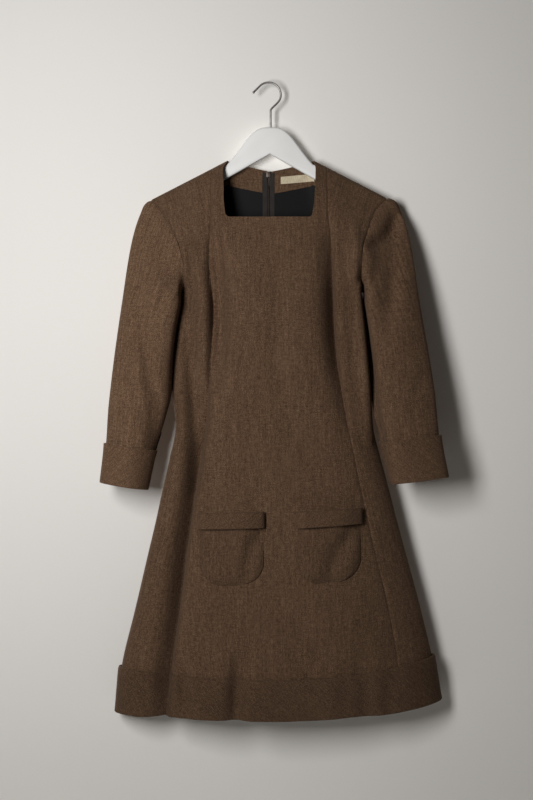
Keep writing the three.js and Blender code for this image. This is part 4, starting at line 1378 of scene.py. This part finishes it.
def makePocketBand(side, carrier):
    pocket, bulge = pockets[side], pocketBand["bulge"]
    height = pocket["top"] - pocket["bottom"]
    section = bandSection(pocketBand["height"], 0.0, pocketBand["thickness"], pocketLook["step"])
    reach = pocket["half"] + pocketBand["overhang"]
    x = pocket["centre"] + reach * pocketShares[None, :] + 0 * section[:, :1]
    drop = section[:, :1] + 0 * x
    fromLeft, fromRight = reach * (1 + pocketShares[None, :]), reach * (1 - pocketShares[None, :])
    lift = pocketRise(fromLeft + 0 * drop, fromRight + 0 * drop, height - drop, drop)
    rim, over = pocketLook["rim"]
    inward = np.minimum(fromLeft, fromRight)
    soft, sharp = (np.exp(-((inward / r) ** pocketLook["rimPower"])) for r in (over, pocketBand["edge"]))
    lift = lift + rim * (soft - sharp) + pocketBand["lift"]
    under = pocketLook["edgeLift"] + pocketLook["thickness"] + dress["gap"] + pocketBand["clear"]
    full = bulge["height"] * np.exp(-(((drop - bulge["at"]) / bulge["width"]) ** 2))
    points = pocketAt(pocket, x, drop, section[:, 1:2] + under + lift + full)
    uv = clothUv(np.concatenate([points, points[:1]]), pocketGrain, math.radians(pocketBand["turn"]))
    band = gridPiece("pocketBand" + side.capitalize(), points, uv, closeRows=True)
    # The pocket band's cloth is darker as painted shade.
    finish(band, [bandShadedTweed], "bias_tweed", "pocket_band_" + side, degrees=60)


for side in pockets:
    makePocketBand(side, makePocket(side))
print("pockets made")


# ---- inside the back: facing, lining, label and zip ----

inside = {
    "facing": (-135.5, -164.5),
    "facingHold": 2.0,
    "facingSteps": (3.0, 2.5),
    "lining": (-164.8, -307.0),
    "liningHalf": 95.0,
    "liningSteps": (3.5, 4.0),
    "tapeTop": -128.7,
    "tapeTurn": -225.0,
    "tapeSteps": (2.0, 3.0, 6.0),
    "chainTop": -136.3,
    "tapeEdge": 9.8,
    "chainHalf": 1.8,
    "label": {"top": -138.0, "height": 12.5, "tilt": 0.13, "from": 20.0, "to": 75.0, "steps": (2.0, 1.5)},
}
# material, slot, node, wall, flat size and area
insideCuts = {
    "neckFacing": (tweed, "tweed", "neck_facing", dress["liningCloth"], (0.058, 0.031), 0.00150),
    "backLining": (lining, "lining", "back_lining", dress["liningCloth"], (0.088, 0.145), 0.0118),
    "zipTape": (zipCloth, "zip_tape", "zip_tape", 0.8, (0.0100, 0.512), 0.00395),
    "ribbonLabel": (labelRibbon, "label", "label", 0.5, (0.0555, 0.0125), None),
}
clothInside = -dress["cloth"] - dress["gap"]


def insideSheet(kind, side, xs, rows, out, tilt=0.0):
    material, slot, node, wall, flat, area = insideCuts[kind]
    x = xs[None, :] + 0 * rows[:, None]
    level = rows[:, None] - tilt * (x - xs[0])
    points = bodyAt("back", x, level, np.full(x.shape, out))
    piece = gridPiece(kind + side.capitalize(), points, clothUv(points, 0), flip=xs[-1] > xs[0])
    finish(piece, [material], slot, node + "_" + side if side else node, wall)


for side, sign in (("left", -1), ("right", 1)):
    start = inside["tapeEdge"] + dress["gap"]
    corner = dress["neckHalf"] + sign * dress["neckMiddle"]
    across, highStep, lowStep = inside["tapeSteps"]
    upper = spaced(inside["tapeTop"], inside["tapeTurn"], highStep)
    lower = spaced(inside["tapeTurn"], dress["zipEnd"], lowStep)[1:]
    facingX, facingZ = inside["facingSteps"]
    liningX, liningZ = inside["liningSteps"]
    sheets = {
        "neckFacing": (
            spaced(start, corner - inside["facingHold"], facingX),
            spaced(*inside["facing"], facingZ),
        ),
        "backLining": (spaced(start, inside["liningHalf"], liningX), spaced(*inside["lining"], liningZ)),
        "zipTape": (
            spaced(inside["chainHalf"] + dress["gap"], inside["tapeEdge"], across),
            np.concatenate([upper, lower]),
        ),
    }
    for kind, (xs, rows) in sheets.items():
        insideSheet(kind, side, sign * xs, rows, clothInside)

labelAt = inside["label"]
labelRows = labelAt["top"] - spaced(0, labelAt["height"], labelAt["steps"][1])
labelOut = clothInside - dress["liningCloth"] - 2 * dress["gap"]
labelXs = spaced(labelAt["from"], labelAt["to"], labelAt["steps"][0])
insideSheet("ribbonLabel", "", labelXs, labelRows, labelOut, labelAt["tilt"])
print("inside of the back made")


# ---- the zip's coil, slider and pull ----

coil = {
    "pitch": 1.7,
    "wire": 0.42,
    "inner": 0.25,
    "reach": 1.05,
    "depth": 0.5,
    "under": 0.9,
    "sides": 6,
    "steps": 5,
}


# One loop of the coil, bent round the chain's edge: its ring centres and its wire around them.
def coilLoop(sign):
    centres, wire = [], []
    for bend in np.linspace(-0.5 * math.pi, 0.5 * math.pi, coil["steps"]):
        across = sign * (coil["inner"] + coil["reach"] * math.cos(bend))
        outward = np.array([sign * math.cos(bend), math.sin(bend), 0])
        for turn in np.linspace(0, 2 * math.pi, coil["sides"], endpoint=False):
            ring = outward * math.cos(turn) + np.array([0, 0, 1]) * math.sin(turn)
            centres.append([across, coil["depth"] * math.sin(bend), coil["pitch"] / 4 * sign])
            wire.append(ring * coil["wire"])
    return np.array(centres), np.array(wire)


def makeCoil():
    rows = np.arange(inside["chainTop"] - coil["pitch"], dress["zipEnd"], -coil["pitch"])
    spine = bodyAt("back", np.zeros(len(rows)), rows, np.full(len(rows), clothInside - coil["under"]))
    sides, steps = coil["sides"], coil["steps"]
    vertices, faces = [], []
    for sign in (-1, 1):
        centres, wire = coilLoop(sign)
        for middle in spine:
            first = len(vertices)
            vertices += list(middle + centres + wire)
            for k in range(first, first + (steps - 1) * sides, sides):
                for q in range(sides):
                    a, b = k + q, k + (q + 1) % sides
                    faces.append((a, b, b + sides, a + sides) if sign > 0 else (a, a + sides, b + sides, b))
            start = list(range(first, first + sides))
            end = [v + (steps - 1) * sides for v in start]
            faces += [start[::-1], end] if sign > 0 else [start, end[::-1]]
    mesh = bpy.data.meshes.new("zipCoil")
    mesh.from_pydata((np.array(vertices) * mm).tolist(), [], faces)
    layer = mesh.uv_layers.new(name="cloth")
    for loop in mesh.loops:
        corner = mesh.vertices[loop.vertex_index].co
        layer.data[loop.index].uv = (corner.x, corner.z)
    piece = bpy.data.objects.new("zipCoil", mesh)
    scene.collection.objects.link(piece)
    faceOutwards(piece)
    finish(piece, [coilNylon], "zip_tape", "zip_chain", degrees=70)


makeCoil()


metalEdges = {"merge": 0.00002, "flat": 2.0, "segments": 3, "widths": {"zip_slider": 0.22, "zip_pull": 0.25}}


# A copy of a plain metal solid with its doubles merged and its edges rounded.
def roundedCopy(node, name, body):
    piece = bpy.data.objects.new(name, bpy.data.objects[node].data.copy())
    scene.collection.objects.link(piece)
    makeActive(piece)
    bpy.ops.object.mode_set(mode="EDIT")
    bpy.ops.mesh.select_all(action="SELECT")
    bpy.ops.mesh.remove_doubles(threshold=metalEdges["merge"])
    bpy.ops.mesh.dissolve_limited(angle_limit=math.radians(metalEdges["flat"]))
    bpy.ops.object.mode_set(mode="OBJECT")
    bevelEdges(piece, metalEdges["widths"][node], metalEdges["segments"])
    piece.data.materials.clear()
    finish(piece, [nickel], "zip_metal", node, degrees=40, body=body)


roundedCopy("zip_slider", "sliderBody", "root")
roundedCopy("zip_pull", "sliderPull", "zip_pull")
print("zip made")


# ---- the hanger ----

hanger = {
    "middle": 2.5,
    "thickness": 10.0,
    "edge": 3.2,
    "edgeSegments": 5,
    "edgeTurn": 60.0,
    "underRidge": 3.8,
    "apex": -115.0,
    "armStart": 82.0,
    "footStart": 76.0,
    "armEnd": 172.0,
    "armHeight": 26.0,
    "taper": 0.05,
    "crown": [
        (0, -71.6),
        (8, -71.8),
        (14, -72.8),
        (21, -75.6),
        (28, -80.6),
        (35, -87.6),
        (43, -98),
        (53, -111.5),
        (63, -124.3),
        (71, -133),
    ],
    "crownEnd": 70.0,
    "crownPoints": 36,
    "tipStart": 4.0,
    "tip": [(0, 1), (3.4, 4), (5, 9), (4.4, 15)],
    "tipFoot": 2.0,
}


def armTop(x):
    return dress["neckLevel"] - dress["shoulderSlope"] * (x - dress["neckHalf"]) - hanger["underRidge"]


def armFoot(x):
    return armTop(x) - hanger["armHeight"] + hanger["taper"] * (x - dress["neckHalf"])


def hangerOutline():
    xs = np.linspace(0, hanger["crownEnd"], hanger["crownPoints"])
    right = list(zip(xs, readTable(hanger["crown"], xs)[0]))
    end = hanger["armEnd"]
    right += [(x, armTop(x)) for x in (hanger["armStart"], end - hanger["tipStart"])]
    right += [(end + out, armTop(end) - drop) for out, drop in hanger["tip"]]
    right += [(end - hanger["tipFoot"], armFoot(end)), (hanger["footStart"], armFoot(hanger["footStart"]))]
    right.append((0, hanger["apex"]))
    left = [(-x, z) for x, z in right[1:-1]][::-1]
    return [(hanger["middle"] + x, z) for x, z in right + left]


def makeHanger():
    corners = hangerOutline()
    deselectAll()
    bpy.ops.mesh.primitive_circle_add(vertices=len(corners), radius=1, fill_type="NGON", calc_uvs=False)
    piece = bpy.context.object
    piece.name = "hangerBoard"
    for vertex, (x, z) in zip(piece.data.vertices, corners):
        vertex.co = Vector((x, -hanger["thickness"] / 2, z)) * mm
    bpy.ops.object.mode_set(mode="EDIT")
    bpy.ops.mesh.select_all(action="SELECT")
    bpy.ops.mesh.extrude_region_move(TRANSFORM_OT_translate={"value": (0, hanger["thickness"] * mm, 0)})
    faceOutwards(piece)
    bevelEdges(piece, hanger["edge"], hanger["edgeSegments"], hanger["edgeTurn"])
    finish(piece, [hangerPaint], "hanger_paint", "hanger_body", degrees=35)


makeHanger()

hook = {
    "wire": 1.65,
    "stem": 3.5,
    "foot": -73.0,
    "bend": -43.0,
    "bendPull": (3.6, 5.4),
    "crownPull": 7.0,
    "stemStep": 5.0,
    "stemEnds": [(0.0, -1.2), (0.25, 0.2)],
    "radius": 20.0,
    "startAngle": -0.35,
    "endAngle": 2.36,
    "arcPoints": 33,
    "bendPoints": 15,
    "tip": 13.0,
    "tipShares": (0.35, 0.7, 1),
    "roundness": 4,
    "weld": 0.00001,
    "bead": [(0.8, 1.22), (1.7, 1.28), (2.5, 1.05), (3.0, 0.55)],
}


# The wire's middle line: a straight stem, a bend, the round crown and a straight tip with a bead.
def hookPath():
    centre = hook["wire"] - hook["radius"]
    angles = np.linspace(hook["startAngle"], hook["endAngle"], hook["arcPoints"])
    arc = [(math.cos(a) * hook["radius"], centre + math.sin(a) * hook["radius"]) for a in angles]
    foot, start = np.array([hook["stem"], hook["bend"]]), np.array(arc[0])
    near = foot + np.array(hook["bendPull"])
    far = start - np.array([-math.sin(angles[0]), math.cos(angles[0])]) * hook["crownPull"]
    bend = []
    for t in np.linspace(0, 1, hook["bendPoints"])[2:-1]:
        inner = near * 3 * t * (1 - t) ** 2 + far * 3 * t * t * (1 - t)
        bend.append(foot * (1 - t) ** 3 + inner + start * t**3)
    ends = [(hook["stem"] + x, hook["bend"] + z) for x, z in hook["stemEnds"]]
    stem = [(hook["stem"], z) for z in spaced(hook["foot"], ends[0][1], hook["stemStep"])] + ends[1:]
    ahead = np.array([-math.sin(angles[-1]), math.cos(angles[-1])])
    straight = [np.array(arc[-1]) + ahead * hook["tip"] * t for t in hook["tipShares"]]
    bead = [(straight[-1] + ahead * run, swell) for run, swell in hook["bead"]]
    return [(p, 1.0) for p in stem + bend + arc + straight] + bead


def makeHook():
    deselectAll()
    bpy.ops.curve.primitive_nurbs_path_add(location=(0, 0, 0))
    wire = bpy.context.object
    wire.name = "hookWire"
    curve = wire.data
    curve.splines.clear()
    spline = curve.splines.new("POLY")
    path = hookPath()
    spline.points.add(len(path) - 1)
    for point, ((x, z), swell) in zip(spline.points, path):
        point.co = (x * mm, 0, z * mm, 1)
        point.radius = swell
    curve.bevel_depth = hook["wire"] * mm
    curve.bevel_resolution = hook["roundness"]
    curve.use_fill_caps = True
    makeActive(wire)
    bpy.ops.object.convert(target="MESH")
    wire = bpy.context.object
    faceOutwards(wire, hook["weld"])
    wire.data.materials.clear()
    finish(wire, [hookSteel], "hook_steel", "hanger_hook", degrees=60)


makeHook()
print("hanger made")


# ---- stage and lights ----

stage = {
    "wallY": 0.0226,
    "size": 9.0,
    "floorZ": -1.42,
    "wallColour": (0.76, 0.738, 0.705),
    "floorColour": (0.66, 0.65, 0.63),
    "airColour": (1.0, 0.9, 0.79, 1),
    "airLight": 0.036,
}
plaster = {
    "cloud": (1.3, 1.3, 1.3),
    "fine": (160.0, 160.0, 160.0),
    "darker": 0.96,
    "stops": (0.3, 0.7),
    "surface": {"Roughness": 0.9, "Specular IOR Level": 0.1},
    "bump": (0.05, 0.0005),
}


def stageMaterial(name, colour, seeThrough):
    material, tree, shader = newMaterial(name)
    spot = tree.nodes.new("ShaderNodeTexCoord").outputs["Object"]
    cloud = noiseOf(tree, spot, plaster["cloud"])
    fine = noiseOf(tree, spot, plaster["fine"])
    darker = tuple(value * plaster["darker"] for value in colour)
    shade = rampOf(tree, cloud, list(zip(plaster["stops"], (darker, colour))))
    tree.links.new(shade, shader.inputs["Base Color"])
    setShader(shader, plaster["surface"])
    tree.links.new(bumpOf(tree, fine, *plaster["bump"]), shader.inputs["Normal"])
    if seeThrough:  # from behind, and for light from behind, the wall isn't there
        geometry = tree.nodes.new("ShaderNodeNewGeometry")
        clear = tree.nodes.new("ShaderNodeBsdfTransparent")
        mix = tree.nodes.new("ShaderNodeMixShader")
        output = next(n for n in tree.nodes if n.type == "OUTPUT_MATERIAL")
        tree.links.new(geometry.outputs["Backfacing"], mix.inputs[0])
        tree.links.new(shader.outputs[0], mix.inputs[1])
        tree.links.new(clear.outputs[0], mix.inputs[2])
        tree.links.new(mix.outputs[0], output.inputs[0])
    return material


def stagePlane(name, location, tilt, material):
    deselectAll()
    bpy.ops.mesh.primitive_plane_add(size=stage["size"], location=location, rotation=(tilt, 0, 0))
    plane = bpy.context.object
    plane.name = name
    plane.data.materials.append(material)
    return plane


wallPaint = stageMaterial("wallPaint", stage["wallColour"], True)
floorPaint = stageMaterial("floorPaint", stage["floorColour"], False)
wall = stagePlane("wall", (0, stage["wallY"], 0), math.pi / 2, wallPaint)
wall.visible_shadow = False
floor = stagePlane("floor", (0, 0, stage["floorZ"]), 0, floorPaint)

lamps = [
    {
        "name": "key",
        "place": (-0.65, -1.46, -0.24),
        "aim": (-0.14, 0, -0.2),
        "size": (0.4, 0.8),
        "spread": 140,
        "power": 14.6,
    },
    {
        "name": "back",
        "place": (-1.2, 2.4, 0.4),
        "aim": (0, 0, -0.5),
        "size": (1.8, 1.8),
        "spread": 180,
        "power": 60.0,
    },
]
for lamp in lamps:
    deselectAll()
    bpy.ops.object.light_add(type="AREA", location=lamp["place"])
    light = bpy.context.object
    light.name = lamp["name"]
    light.data.shape = "RECTANGLE"
    light.data.size, light.data.size_y = lamp["size"]
    light.data.energy = lamp["power"]
    light.data.spread = math.radians(lamp["spread"])
    light.visible_camera = False
    light.rotation_euler = (Vector(lamp["aim"]) - light.location).to_track_quat("-Z", "Y").to_euler()

world = bpy.data.worlds.new("room")
scene.world = world
world.use_nodes = True
background = world.node_tree.nodes.get("Background") or world.node_tree.nodes.new("ShaderNodeBackground")
background.inputs[0].default_value = stage["airColour"]
background.inputs[1].default_value = stage["airLight"]
print("stage and lights set")
